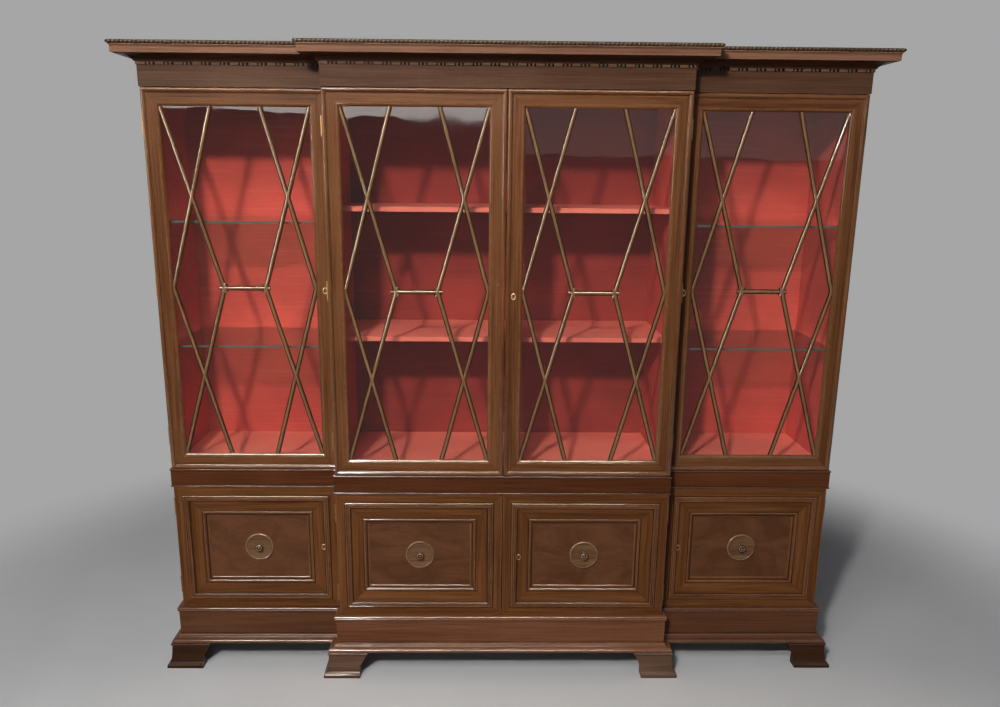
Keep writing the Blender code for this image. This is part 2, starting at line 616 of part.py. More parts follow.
def lattice(name, left, right, low, high, face, wood):
    """The astragal bars, joined into one piece and trimmed to the daylight."""
    width, height = right - left, high - low
    back, rise = face + GLASS_DEPTH, BAR_FRONT_DEPTH - GLASS_DEPTH
    section = scaled(BAR_SHARES, BAR_WIDTH, rise, 0.0, back)
    bars = []
    for start, end in LATTICE_SHARES:
        a = Vector((left + start[0] * width, low + start[1] * height))
        b = Vector((left + end[0] * width, low + end[1] * height))
        run = (b - a).normalized() * BAR_WIDTH
        reach_a = a - run if 0.0 in start or 1.0 in start else a - run * BAR_TIE_SHARE
        reach_b = b + run if 0.0 in end or 1.0 in end else b + run * BAR_TIE_SHARE
        bars.append(sweep("bar", section, [tuple(reach_a), tuple(reach_b)], front, wood))
    joined = combine(bars[0], bars[1:], "UNION")
    joined.name = name
    corner = (right - SEAT, back + OVERRUN, high - SEAT)
    trim = box("trim", (left + SEAT, face - OVERRUN, low + SEAT), corner, wood)
    return combine(joined, [trim], "INTERSECT")


def lock_slot(edge, hand, face, level, length, material):
    return bolt_box("slot", edge, hand, face, level, length + SEAT, SEAT, material, start=OVERRUN)


def make_glazed_door(bay, wood, glass, brass):
    name, left, right, face, hand, locked = bay
    low, high = UPPER_DOOR
    wing = face == WING_FRONT
    inner = WING_INNER_STILE if wing else GLAZED_FRAME
    stiles = (GLAZED_FRAME, inner) if hand < 0 else (inner, GLAZED_FRAME)
    frame = glazed_frame(name + "_upper_frame", left, right, low, high, face, stiles, wood)
    hinge_edge, lock_edge = (left, right) if hand < 0 else (right, left)
    case_x = hand * (HALF_CASE if wing else HALF_CENTRE)
    extras = [edge_moulding(left, right, low, high, face, hand, wing, wood)]
    extras += door_hinges(case_x, hinge_edge, hand, face, hinge_places(UPPER_DOOR, UPPER_HINGE_SHARES), brass)
    combine(frame, extras, "UNION")
    if locked:
        cutter = lock_slot(lock_edge, hand, face, UPPER_LOCK_HEIGHT, UPPER_BOLT_LENGTH, wood)
        combine(frame, [cutter], "DIFFERENCE")
        bolt = name + "_upper_lock_bolt"
        bolt_box(bolt, lock_edge, hand, face, UPPER_LOCK_HEIGHT, UPPER_BOLT_LENGTH, 0.0, brass)
    else:
        combine(frame, [mortise(lock_edge, -hand, face, UPPER_LOCK_HEIGHT, wood)], "DIFFERENCE")
    day = (left + stiles[0], right - stiles[1], low + GLAZED_FRAME, high - GLAZED_FRAME)
    lattice(name + "_lattice", *day, face, wood)
    pane = GLAZING_REBATE - SEAT
    near = face + GLASS_DEPTH + SEAT
    low, high = (day[0] - pane, near, day[2] - pane), (day[1] + pane, near + GLASS_THICKNESS, day[3] + pane)
    box(name + "_glass", low, high, glass)


def make_panelled_door(bay, wood, brass):
    name, left, right, face, hand, locked = bay
    low, high = LOWER_DOOR
    section = scaled(PANEL_SECTION_SHARES, PANEL_FRAME, DOOR_THICKNESS, 0.0, face)
    back, seat = face + DOOR_THICKNESS, face + PANEL_DEPTH
    rebate = PANEL_FRAME - PANEL_REBATE
    section = [(0.0, back), *section, (PANEL_FRAME, seat), (rebate, seat), (rebate, back)]
    path = [(left, low), (left, high), (right, high), (right, low)]
    frame = sweep(name + "_lower_frame", section, path, front, wood, closed=True)
    hinge_edge, lock_edge = (left, right) if hand < 0 else (right, left)
    case_x = hand * (HALF_CASE if face == WING_FRONT else HALF_CENTRE)
    levels = hinge_places(LOWER_DOOR, LOWER_HINGE_SHARES)
    combine(frame, door_hinges(case_x, hinge_edge, hand, face, levels, brass), "UNION")
    if locked:
        cutter = lock_slot(lock_edge, hand, face, LOWER_LOCK_HEIGHT, LOWER_BOLT_LENGTH, wood)
        combine(frame, [cutter], "DIFFERENCE")
        bolt = name + "_lower_lock_bolt"
        bolt_box(bolt, lock_edge, hand, face, LOWER_LOCK_HEIGHT, LOWER_BOLT_LENGTH, 0.0, brass)
    else:
        combine(frame, [mortise(lock_edge, -hand, face, LOWER_LOCK_HEIGHT, wood)], "DIFFERENCE")
    inset = rebate + SEAT
    near = seat + SEAT
    corner = (right - inset, near + PANEL_THICKNESS, high - inset)
    box(name + "_panel", (left + inset, near, low + inset), corner, wood)
    centre = ((left + right) / 2, (low + high) / 2)
    profile = scaled(PULL_SHARES, PULL_RADIUS, -PULL_HEIGHT, 0.0, near - SEAT)
    turned(name + "_pull", profile, centre, PULL_SIDES, front, wood)


def main():
    clear_scene()
    wood = finish("mahogany", (0.16, 0.06, 0.03), 0.35)
    paint = finish("red_paint", (0.45, 0.06, 0.05), 0.55)
    brass = finish("brass", (0.55, 0.42, 0.18), 0.35, metallic=1.0)
    glass = finish("glass", (0.75, 0.85, 0.80), 0.05, alpha=0.3)
    make_cornice(wood)
    make_frieze(wood)
    make_plates(wood, paint)
    make_waist(wood)
    make_plinth(wood)
    make_feet(wood)
    make_case(wood, paint, brass)
    make_shelves(paint, glass)
    for bay in BAYS:
        make_glazed_door(bay, wood, glass, brass)
        make_panelled_door(bay, wood, brass)


main()
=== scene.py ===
# Breakfront bookcase: four astragal glazed doors over four panelled ones, in polished mahogany.
# Metres, +Z up, +X to the right, the front towards -Y.
from math import atan, cos, pi, radians, sin
from random import Random

import bmesh
import bpy
from mathutils import Matrix, Vector


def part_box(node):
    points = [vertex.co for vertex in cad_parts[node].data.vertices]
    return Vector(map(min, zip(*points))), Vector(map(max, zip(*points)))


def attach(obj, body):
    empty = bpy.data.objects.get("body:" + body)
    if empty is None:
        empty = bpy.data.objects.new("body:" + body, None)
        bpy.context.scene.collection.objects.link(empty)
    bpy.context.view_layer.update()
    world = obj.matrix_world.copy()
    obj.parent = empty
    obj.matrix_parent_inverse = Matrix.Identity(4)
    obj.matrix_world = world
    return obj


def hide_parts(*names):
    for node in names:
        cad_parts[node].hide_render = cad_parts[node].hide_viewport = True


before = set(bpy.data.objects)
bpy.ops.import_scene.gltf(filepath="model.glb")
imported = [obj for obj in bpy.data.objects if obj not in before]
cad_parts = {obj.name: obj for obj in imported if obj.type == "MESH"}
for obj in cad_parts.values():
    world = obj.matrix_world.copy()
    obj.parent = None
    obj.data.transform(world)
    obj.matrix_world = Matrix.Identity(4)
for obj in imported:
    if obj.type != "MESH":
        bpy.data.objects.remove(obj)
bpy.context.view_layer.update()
mm = 0.001
grainDraw = Random(11)  # each board gets its own place in the wood
print("bookcase: frame loaded with", len(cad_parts), "nodes")


class Named(dict):
    # a dictionary whose entries are also read as attributes
    __getattr__ = dict.__getitem__


def scaled(value):
    return tuple(map(scaled, value)) if isinstance(value, tuple) else value * mm


def inMm(**sizes):
    return Named({name: scaled(value) for name, value in sizes.items()})


def profile(points, lift=0.0):
    # (across, level) points in mm, from the lift; a third number is the bulge of the arc that follows
    return [(point[0] * mm, lift + point[1] * mm, *point[2:]) for point in points]


# Sizes of the case, read from the frame where a node gives them
def lowest(node):
    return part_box(node)[0]


def highest(node):
    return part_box(node)[1]


case = inMm(
    board=22, floorBoard=20, seat=0.3,
    setback=22.6,  # from the doors' face back to the boards' front edges
    barDepth=1,  # from the doors' face back to the crown of the bars
)
case.update(
    back=highest("upper_back").y,
    backFace=lowest("upper_back").y - case.seat,
    wingFront=lowest("left_wing_lattice").y - case.barDepth,
    centreFront=lowest("centre_left_lattice").y - case.barDepth,
    halfWidth=highest("upper_back").x + case.board + case.seat,
    halfCentre=highest("centre_shelf_upper").x + case.board + case.seat,
    footTop=lowest("plinth").z,
    plinthTop=highest("plinth").z,
    waistBottom=lowest("waist_board").z,
    waistTop=highest("waist_board").z,
    friezeBottom=lowest("frieze_board").z - case.seat,
    corniceBottom=highest("frieze_board").z,
    ropeBottom=lowest("cornice_rope_edge").z,
    top=highest("cornice_rope_edge").z,
)
doorGaps = inMm(
    over=2,  # over and under each door
    reveal=3.5,  # from a wing door's hinge edge to the case's end
    centreReveal=1.5,
    wing=4,  # from a wing door's free edge to the centre
    meeting=3,
)
doorLevels = {
    "upper": (case.waistTop + doorGaps.over, case.friezeBottom - doorGaps.over),
    "lower": (case.plinthTop + doorGaps.over, case.waistBottom - doorGaps.over),
}
hands = (("left", -1), ("right", 1))


def makeBay(name, hand):
    wing = "wing" in name
    near, far = doorGaps.meeting / 2, case.halfCentre - doorGaps.centreReveal
    if wing:
        near, far = case.halfCentre + doorGaps.wing, case.halfWidth - doorGaps.reveal
    left, right = sorted((hand * near, hand * far))
    return Named(
        name=name, hand=hand, wing=wing, locked=name != "centre_left", left=left, right=right,
        lockEdge=hand * near, lockSide="left" if hand > 0 else "right",
        face=case.wingFront if wing else case.centreFront,
        caseX=hand * (case.halfWidth if wing else case.halfCentre),
    )


bays = [makeBay("left_wing", -1), makeBay("centre_left", -1), makeBay("centre_right", 1),
        makeBay("right_wing", 1)]


# Node trees
class Wire:
    # a node's output; sums and products of wires add Math nodes to its tree
    def __init__(self, socket):
        self.socket = socket
        self.tree = socket.id_data

    def maths(self, operation, *others, clamp=False):
        inputs = dict(enumerate((self, *others)))
        return addNode(self.tree, "ShaderNodeMath", inputs, operation=operation, use_clamp=clamp)

    def share(self, factor):
        return self.maths("MULTIPLY", factor, clamp=True)

    def __add__(self, other):
        return self.maths("ADD", other)

    def __sub__(self, other):
        return self.maths("SUBTRACT", other)

    def __rsub__(self, other):
        return addNode(self.tree, "ShaderNodeMath", {0: other, 1: self}, operation="SUBTRACT")

    def __mul__(self, other):
        return self.maths("MULTIPLY", other)


def feed(node, inputs):
    for key, value in inputs.items():
        if isinstance(value, Wire):
            value.tree.links.new(value.socket, node.inputs[key])
        else:
            node.inputs[key].default_value = value


def addNode(tree, kind, inputs=(), out=0, **settings):
    node = tree.nodes.new(kind)
    for key, value in settings.items():
        setattr(node, key, value)
    feed(node, dict(inputs))
    return Wire(node.outputs[out])


def blend(share, first, second, way="MIX"):
    inputs = {0: share, 6: first, 7: second}
    return addNode(share.tree, "ShaderNodeMix", inputs, 2, data_type="RGBA", blend_type=way)


def ramp(value, stops):
    colour = addNode(value.tree, "ShaderNodeValToRGB", {"Fac": value}, "Color")
    marks = colour.socket.node.color_ramp.elements
    while len(marks) < len(stops):
        marks.new(0.5)
    for mark, (position, shade) in zip(marks, stops):
        mark.position = position
        mark.color = shade
    return colour


def between(value, low, high):
    # 0 below the low mark, 1 above the high one, smooth from one to the other
    inputs = {"Value": value, "From Min": low, "From Max": high}
    return addNode(value.tree, "ShaderNodeMapRange", inputs, "Result", interpolation_type="SMOOTHSTEP")


def noise(place, scale, detail=3.0, roughness=0.5, distortion=0.0):
    inputs = {"Vector": place, "Scale": scale, "Detail": detail, "Roughness": roughness,
              "Distortion": distortion}
    return addNode(place.tree, "ShaderNodeTexNoise", inputs)


def stretched(place, scale):
    return addNode(place.tree, "ShaderNodeMapping", {"Vector": place, "Scale": scale})


def axisOf(place, axis):
    return addNode(place.tree, "ShaderNodeSeparateXYZ", {0: place}, axis)


def vector(tree, *parts):
    return addNode(tree, "ShaderNodeCombineXYZ", dict(enumerate(parts)))


def attribute(tree, name):
    return addNode(tree, "ShaderNodeAttribute", (), "Fac", attribute_name=name)


def bump(height, distance, strength):
    inputs = {"Height": height, "Distance": distance, "Strength": strength}
    return addNode(height.tree, "ShaderNodeBump", inputs)


def mixed(share, first, second):
    return addNode(share.tree, "ShaderNodeMixShader", {0: share, 1: first, 2: second})


def tint(red, green, blue):
    # a colour as it is seen, 0 to 255, as the shader's linear light
    seen = [value / 255 for value in (red, green, blue)]
    return (*[share / 12.92 if share < 0.04 else ((share + 0.055) / 1.055) ** 2.4 for share in seen], 1.0)


def times(colour, factors):
    return (*[min(1.0, value * factor) for value, factor in zip(colour, factors)], 1.0)


def newMaterial(name):
    # the material, its tree and the object's own coordinates
    material = bpy.data.materials.new(name)
    material.use_nodes = True
    return material, material.node_tree, addNode(material.node_tree, "ShaderNodeTexCoord", (), "Object")


def coated(material, **inputs):
    # spaces in a socket's name are written as underscores
    feed(material.node_tree.nodes["Principled BSDF"], {key.replace("_", " "): inputs[key] for key in inputs})
    return material


def surfaced(material, shader):
    feed(material.node_tree.nodes["Material Output"], {"Surface": shader})
    return material


# Mahogany
woodSizes = Named(
    streaks=(4, 190, 190),  # repeats in a metre: along the grain, then across it
    pores=(70, 1400, 1400),
    polishPatches=2.4, rubbing=38, poreDepth=0.12 * mm,
)
woodLook = dict(
    along="map",  # the boards' own map runs along their grain
    bands=(1.3, 34, 34), figure=0.4, streaks=0.5,
    spread=1.0,  # from the dark figure to the light one
    grime=1.5, wear=0.5, rough=0.26, shine=0.03, coat=0.08, coatRough=0.1,
    gleam=0.85, dulled=0.9,  # of the polish on the beads, and how much less up high
)


def mahogany(name, changes):
    look = Named({**woodLook, **changes})
    material, tree, spot = newMaterial("mahogany_" + name)
    place = spot
    if look.along == "map":
        place = addNode(tree, "ShaderNodeUVMap", (), "UV", uv_map="grain")
    band = noise(stretched(place, look.bands), 1.0, 5, 0.6, look.figure)
    streak = noise(stretched(place, woodSizes.streaks), 1.0, 3, 0.6)
    poreMark = 1.0 - between(noise(stretched(place, woodSizes.pores), 1.0, 1), 0.33, 0.42)
    patch = noise(spot, woodSizes.polishPatches, 3, 0.6)
    rub = noise(spot, woodSizes.rubbing, 3, 0.7)
    body = look.body
    dark = times(body, [1 - share * look.spread for share in (0.50, 0.58, 0.62)])
    light = times(body, [1 + share * look.spread for share in (0.52, 0.62, 0.72)])
    figure = band * (1 - look.streaks) + streak * look.streaks
    colour = ramp(figure, ((0.40, dark), (0.5, body), (0.61, light)))
    board, tone = attribute(tree, "board"), attribute(tree, "tone")
    # dirt and painted shade: the colour is darkened in concave quirks
    grime = (tone * -1.0).share(look.grime) * 0.88
    layers = (
        (between(patch, 0.48, 0.72) * 0.45, (1.35, 1.45, 1.55)),  # faded patches
        (board.share(0.28), (1.35, 1.4, 1.5)),  # the paler boards, then the darker ones
        (board.share(-0.28), (0.5, 0.46, 0.44)),
        (poreMark * 0.35, (0.3, 0.25, 0.25)),
        (grime, (0.12, 0.1, 0.1)),
        # wear and painted highlight: convex edges are lightened where they are rubbed
        ((tone * between(rub, 0.3, 0.6)).share(1.3) * look.wear, (2.3, 2.5, 2.7)),
    )
    for share, factors in layers:
        colour = blend(share, colour, times(body, factors))
    rough = between(patch, 0.35, 0.7).maths("MULTIPLY_ADD", 0.12, look.rough)
    # polish gathers and is rubbed bright on the beads, less so out of the duster's reach
    dulled = between(axisOf(spot, 2), 0.86, 1.25) * look.dulled
    polish = between(tone, 0.03, 0.14) * (1.0 - dulled)
    return coated(
        material, Base_Color=colour, Roughness=rough + grime * 0.25 + streak * 0.08,
        Specular_IOR_Level=look.shine, Coat_Roughness=look.coatRough,
        Coat_Weight=polish.maths("MULTIPLY_ADD", look.gleam, look.coat),
        Normal=bump(streak * 0.5 - poreMark, woodSizes.poreDepth, 0.5),
    )


mahoganyLooks = {
    "cornice": {"body": tint(115, 79, 59), "spread": 0.6, "grime": 3.0},
    # painted shade: the faces under the fascia take a darker copy of the cornice's wood
    "cove": {"body": tint(84, 50, 32), "spread": 0.7, "gleam": 0.2, "grime": 2.0},
    "frieze": {"body": tint(77, 51, 35), "spread": 0.55, "gleam": 0.15},
    # painted light: the fret blocks are made lighter than the frieze board they stand on
    "fret": {"body": tint(100, 73, 56), "spread": 0.6, "along": "x"},
    # painted shade: near-black for the sunk ground behind and between the fret blocks
    "fretGround": {"body": tint(24, 15, 10), "spread": 0.4, "coat": 0.0},
    "doors": {"body": tint(96, 59, 33), "spread": 0.85, "grime": 3.5},
    "bars": {"body": tint(110, 78, 48), "spread": 0.6, "wear": 0.3, "grime": 3.0, "dulled": 0.0},
    "waist": {"body": tint(82, 44, 23), "spread": 0.7, "gleam": 0.6, "grime": 2.5},
    "cupboards": {"body": tint(97, 59, 30), "spread": 0.8, "gleam": 0.6, "grime": 3.5},
    "panels": {"body": tint(91, 57, 36), "spread": 0.35, "figure": 1.6, "bands": (5, 8, 11), "streaks": 0.12,
               "along": "x"},
    "pulls": {"body": tint(106, 77, 52), "spread": 0.6, "along": "x", "wear": 0.7, "grime": 1.5},
    "plinth": {"body": tint(112, 71, 47), "spread": 0.6, "grime": 2.5},
    "wingPlinth": {"body": tint(88, 54, 34), "spread": 0.6, "grime": 2.5},
    "feet": {"body": tint(96, 71, 56), "spread": 0.6, "grime": 2.5},
    "wingFeet": {"body": tint(58, 35, 20), "spread": 0.6, "grime": 2.5},
    "sides": {"body": tint(92, 54, 30)},
    "rope": {"body": tint(98, 80, 60), "spread": 0.6, "along": "x", "gleam": 0.1, "coat": 0.05},
    # painted shade: the rope's core, seen between the lobes, is made darker than the lobes
    "ropeCore": {"body": tint(54, 41, 29), "spread": 0.6, "gleam": 0.2, "coat": 0.05},
    "linings": {"body": tint(112, 80, 56), "along": "x", "rough": 0.6, "coat": 0.0},
}
mahoganies = {name: mahogany(name, look) for name, look in mahoganyLooks.items()}


def woods(*names):
    return [mahoganies[name] for name in names]


# Red paint inside the upper case, with bare pine-coloured wood on the outside of the back and the top
paintLook = Named(
    # shelfRed and shelfDull: the red lightened as painted light, for upward faces
    red=tint(208, 78, 66), dull=tint(184, 66, 56), scuffed=tint(218, 110, 94), shelfRed=tint(242, 122, 104),
    # darkened: painted shade, multiplied into the middle bay's back
    shelfDull=tint(228, 110, 94), darkened=(0.55, 0.5, 0.5, 1.0), bare=tint(150, 116, 84),
    bareStreak=tint(112, 82, 56), patches=3.2, brush=(3, 55, 160), rough=0.5,
)


def redPaint(name, bareFrom=None, main="red", second="dull", side="GREATER_THAN"):
    # bareFrom is (axis, level): on that side of the level the board is left unpainted
    look = paintLook
    material, tree, place = newMaterial(name)
    patch = noise(place, look.patches, 4, 0.6)
    brush = noise(stretched(place, look.brush), 1.0, 3, 0.6)
    speck = noise(place, 190, 2, 0.6)
    colour = blend(between(patch, 0.35, 0.68), look[second], look[main])
    colour = blend(between(brush, 0.5, 0.75) * 0.4, colour, look.scuffed)
    colour = blend(between(speck, 0.62, 0.75) * 0.3, colour, times(look.dull, (0.6, 0.5, 0.5)))
    colour = blend(attribute(tree, "tone").share(0.6), colour, look.scuffed)
    if bareFrom:
        axis, level = bareFrom
        if axis == 1:
            # painted shade: the middle bay's back is made darker than the wings'
            inside = axisOf(place, 0).maths("ABSOLUTE").maths("LESS_THAN", case.halfCentre - 10 * mm)
            colour = blend(inside, colour, look.darkened, "MULTIPLY")
        grain = noise(stretched(place, (1.6, 60, 60)), 1.0, 5, 0.65, 0.6)
        wood = ramp(grain, ((0.36, look.bareStreak), (0.62, look.bare)))
        colour = blend(axisOf(place, axis).maths(side, level), colour, wood)
    return coated(
        material, Base_Color=colour, Roughness=patch.maths("MULTIPLY_ADD", 0.2, look.rough),
        Specular_IOR_Level=0.05, Normal=bump(brush + speck * 0.5, 0.2 * mm, 0.4),
    )


# Brass, glass and a near-black for dark wax
metalLook = Named(bright=tint(112, 88, 56), dull=tint(54, 40, 26), plate=tint(160, 138, 106))
glassLook = Named(pane=tint(250, 252, 250), ripple=(5, 5, 3.5), shelf=tint(232, 244, 236),
                  shelfEdge=tint(120, 120, 108))


def agedBrass(name, bright, tarnish):
    material, tree, place = newMaterial(name)
    cloud = noise(place, 60, 4, 0.65)
    dullShare = between(cloud, 0.32, 0.68) * tarnish
    # raised rims are rubbed bright
    dullShare = dullShare.maths("SUBTRACT", attribute(tree, "tone"), clamp=True)
    return coated(
        material, Base_Color=blend(dullShare, bright, metalLook.dull), Metallic=1.0,
        Roughness=cloud.maths("MULTIPLY_ADD", 0.4, 0.3), Normal=bump(noise(place, 900, 2), 0.05 * mm, 0.3),
    )


def paneGlass(name, shelf=False):
    # light goes straight through; only the mirrored part changes with the slant
    material, tree, place = newMaterial(name)
    ripple = bump(noise(stretched(place, glassLook.ripple), 1.0, 2), 1.6 * mm, 0.5)
    colour = glassLook.pane
    if shelf:
        edge = axisOf(place, 1).maths("LESS_THAN", lowest("left_glass_shelf_upper").y + 0.1 * mm)
        colour = blend(edge, glassLook.shelf, glassLook.shelfEdge)
    through = addNode(tree, "ShaderNodeBsdfTransparent", {"Color": colour})
    if shelf:
        milky = addNode(tree, "ShaderNodeBsdfDiffuse", {"Color": glassLook.shelfEdge})
        through = mixed(edge * 0.45, through, milky)
    smear = between(noise(place, 7, 3), 0.4, 0.8) * 0.06
    inputs = {"Color": (1.0, 1.0, 1.0, 1.0), "Normal": ripple, "Roughness": smear}
    mirror = addNode(tree, "ShaderNodeBsdfGlossy", inputs)
    slant = addNode(tree, "ShaderNodeFresnel", {"IOR": 1.5, "Normal": ripple})
    behind = addNode(tree, "ShaderNodeNewGeometry", (), "Backfacing")  # nothing is mirrored on the way out
    return surfaced(material, mixed(slant * (1.0 - behind), through, mirror))


def darkHollow(name):
    material, tree, place = newMaterial(name)
    grit = noise(place, 700, 2)
    colour = ramp(grit, ((0.3, tint(12, 8, 6)), (0.7, tint(34, 24, 18))))
    return coated(material, Base_Color=colour, Roughness=grit.maths("MULTIPLY_ADD", 0.3, 0.5))


# painted light: the shelves and the floor board take lighter reds, for tops that face the light
litShelfReds = ("shelfRed", "shelfDull")
skins = Named(
    red=redPaint("red_paint"),
    redShelf=redPaint("red_paint_shelves", None, *litShelfReds),
    redFloor=redPaint("red_paint_floor", (2, highest("upper_floor_board").z - 1 * mm), *litShelfReds,
                      "LESS_THAN"),
    redBack=redPaint("red_paint_back", (1, case.backFace + 6 * mm)),
    redTop=redPaint("red_paint_top", (2, lowest("top_board").z + 1 * mm)),
    brass=agedBrass("brass_aged", metalLook.bright, 0.9),
    plate=agedBrass("lock_plate_metal", metalLook.plate, 0.7),
    glass=paneGlass("pane_glass"),
    shelfGlass=paneGlass("shelf_glass", True),
    hollow=darkHollow("keyhole_dark"),
)
print("bookcase: materials made")


# Sections and outlines
edgeLook = Named(
    sharp=24,  # degrees: corners over it are rounded a little, as a plane and wax leave them
    reach=2.5 * mm,  # how far wear, dirt, painted highlight and painted shade spread onto a flat
    feel=2.1 * mm,  # how far from a point its neighbours say whether it stands out
)


def arced(points, steps=6):
    # a third number at a point is the tangent of a quarter of the angle of the arc that follows it
    outline = []
    for number, point in enumerate(points):
        start = Vector(point[:2])
        outline.append(start)
        if len(point) < 3:
            continue
        end = Vector(points[(number + 1) % len(points)][:2])
        bulge = point[2]
        half = (end - start) / 2
        centre = start + half + half.orthogonal() * (1 - bulge * bulge) / (2 * bulge)
        for step in range(1, steps):
            outline.append(centre + Matrix.Rotation(4 * atan(bulge) * step / steps, 2) @ (start - centre))
    return outline


def eased(points, radius):
    rounded = []
    for number, here in enumerate(points):
        before = points[number - 1] - here
        after = points[(number + 1) % len(points)] - here
        if before.length < 1e-7 or after.length < 1e-7:
            continue
        if 180 - before.angle(after) * 180 / pi < edgeLook.sharp:
            rounded.append(here)
            continue
        cut = min(radius, 0.35 * before.length, 0.35 * after.length)
        first = here + before.normalized() * cut
        last = here + after.normalized() * cut
        rounded += [first, (first + last) / 4 + here / 2, last]
    outline = []
    for number, here in enumerate(rounded):
        # points near the ends of long stretches keep wear, dirt, painted highlight and painted shade off the
        # flats between them
        outline.append(here)
        step = rounded[(number + 1) % len(rounded)] - here
        if step.length > 2.5 * edgeLook.reach:
            near = step.normalized() * edgeLook.reach
            outline += [here + near, here + step - near]
    return outline


def pointAlong(outline, marks, reach):
    # the point at a distance round a closed outline
    reach = reach % marks[-1]
    for number, here in enumerate(outline):
        if reach <= marks[number + 1]:
            stretch = marks[number + 1] - marks[number]
            share = (reach - marks[number]) / stretch if stretch else 0
            return here.lerp(outline[(number + 1) % len(outline)], share)
    return outline[0].copy()


def curvatureTones(outline):
    # above 0 on edges that rubbing reaches, lightened as wear and painted highlight; below 0 in quirks,
    # darkened as dirt and painted shade
    marks, area, reach = [0.0], 0.0, edgeLook.feel
    for number, here in enumerate(outline):
        after = outline[(number + 1) % len(outline)]
        marks.append(marks[-1] + (after - here).length)
        area += here.x * after.y - after.x * here.y
    tones = []
    for number, here in enumerate(outline):
        before = pointAlong(outline, marks, marks[number] - reach)
        after = pointAlong(outline, marks, marks[number] + reach)
        run = after - before
        outward = Vector((run.y, -run.x)).normalized() * (1 if area > 0 else -1)
        tones.append(-((before + after) / 2 - here).dot(outward) / reach)
    return tones


def onPlan(across, deep, level):
    return Vector((across, deep, level))


def onFront(across, level, deep):
    return Vector((across, deep, level))


def onSide(deep, level, across):
    return Vector((across, deep, level))


def corners(low, high):
    return [(low[0], low[1]), (high[0], low[1]), (high[0], high[1]), (low[0], high[1])]


# Shells: closed bodies gathered in one mesh, each with its grain map and its tone
def newMesh():
    return Named(points=[], faces=[], grain=[], tones=[], boards=[])


def addRun(mesh, rings, tones, lifts=None):
    # a body through matching rings, capped at both ends, with the grain along it
    count = len(rings[0])
    base = len(mesh.points)
    along = (sum(rings[-1], Vector()) / count - sum(rings[0], Vector()) / count).normalized()
    side = along.orthogonal().normalized()
    other = along.cross(side)
    shift = Vector((grainDraw.uniform(0, 20), grainDraw.uniform(0, 20)))
    mesh.boards += [grainDraw.uniform(-1, 1)] * (count * len(rings))
    across = [0.0]
    for number in range(count):
        step = rings[0][(number + 1) % count] - rings[0][number]
        across.append(across[-1] + (step - along * step.dot(along)).length)
    for ring, lift in zip(rings, lifts or [0.0] * len(rings)):
        mesh.points += ring
        mesh.tones += [tone + lift for tone in tones]
    for row in range(len(rings) - 1):
        here, there = base + row * count, base + (row + 1) * count
        for number in range(count):
            after = (number + 1) % count
            mesh.faces.append((here + number, here + after, there + after, there + number))
            for ring, point, mark in ((row, number, number), (row, after, number + 1),
                                      (row + 1, after, number + 1), (row + 1, number, number)):
                mesh.grain.append((rings[ring][point].dot(along) + shift.x, across[mark] + shift.y))
    for ring, start in ((rings[0], base), (rings[-1], base + (len(rings) - 1) * count)):
        mesh.faces.append(tuple(range(start, start + count)))
        mesh.grain += [(point.dot(side) * 0.1 + shift.x, point.dot(other) + shift.y) for point in ring]


def addPrism(mesh, points, low, high, place=onPlan, ease=0.7 * mm):
    outline = eased([Vector(point) for point in points], ease)
    addRun(mesh, [[place(*point, level) for point in outline] for level in (low, high)], curvatureTones(outline))


def addBoard(mesh, first, second, ease):
    # an upright board between two corners
    low, high = [[pick(pair) for pair in zip(first, second)] for pick in (min, max)]
    addPrism(mesh, corners(low, high), low[2], high[2], onPlan, ease)


def addTurning(mesh, points, centre, place, sides):
    # a turned body from (radius, level) points; a radius of 0 at an end closes it in a point
    rows = []
    for (radius, level), tone in zip(points, curvatureTones([Vector(point) for point in points])):
        count = 1 if radius == 0 else sides
        rows.append((len(mesh.points), count))
        for number in range(count):
            angle = 2 * pi * number / sides
            mesh.points.append(place(centre[0] + radius * cos(angle), centre[1] + radius * sin(angle), level))
        mesh.tones += [tone] * count
        mesh.boards += [0.0] * count
    start = len(mesh.faces)
    for (here, few), (there, many) in zip(rows, rows[1:]):
        for number in range(sides):
            after = (number + 1) % sides
            face = (here + number % few, here + after % few, there + after % many, there + number % many)
            mesh.faces.append(tuple(dict.fromkeys(face)))
    mesh.faces += [tuple(range(first, first + count)) for first, count in (rows[0], rows[-1]) if count > 1]
    for face in mesh.faces[start:]:
        mesh.grain += [mesh.points[number].xz[:] for number in face]


# Pieces
def linked(name, data):
    thing = bpy.data.objects.new(name, data)
    bpy.context.scene.collection.objects.link(thing)
    return thing


def drop(things):
    for thing in things:
        bpy.data.objects.remove(thing, do_unlink=True)


def applied(piece):
    # the modifiers' result becomes the piece's own plain mesh
    graph = bpy.context.evaluated_depsgraph_get()
    data = bpy.data.meshes.new_from_object(piece.evaluated_get(graph))
    piece.modifiers.clear()
    piece.data = data
    return piece


def meshObject(name, mesh, materials=()):
    data = bpy.data.meshes.new(name)
    data.from_pydata(mesh.points, [], mesh.faces)
    layer = data.uv_layers.new(name="grain")
    layer.data.foreach_set("uv", [value for pair in mesh.grain for value in pair])
    for key, values in (("tone", mesh.tones), ("board", mesh.boards)):
        data.attributes.new(key, "FLOAT", "POINT").data.foreach_set("value", values)
    for material in materials:
        data.materials.append(material)
    work = bmesh.new()
    work.from_mesh(data)
    bmesh.ops.recalc_face_normals(work, faces=work.faces)
    work.to_mesh(data)
    work.free()
    return linked(name, data)


def carve(piece, cutters, operation="DIFFERENCE", ownToo=False):
    for cutter in cutters:
        change = piece.modifiers.new("carve", "BOOLEAN")
        change.object = cutter
        change.operation = operation
        change.solver = "EXACT"
        change.use_self = ownToo
    applied(piece)
    drop(cutters)
    return piece


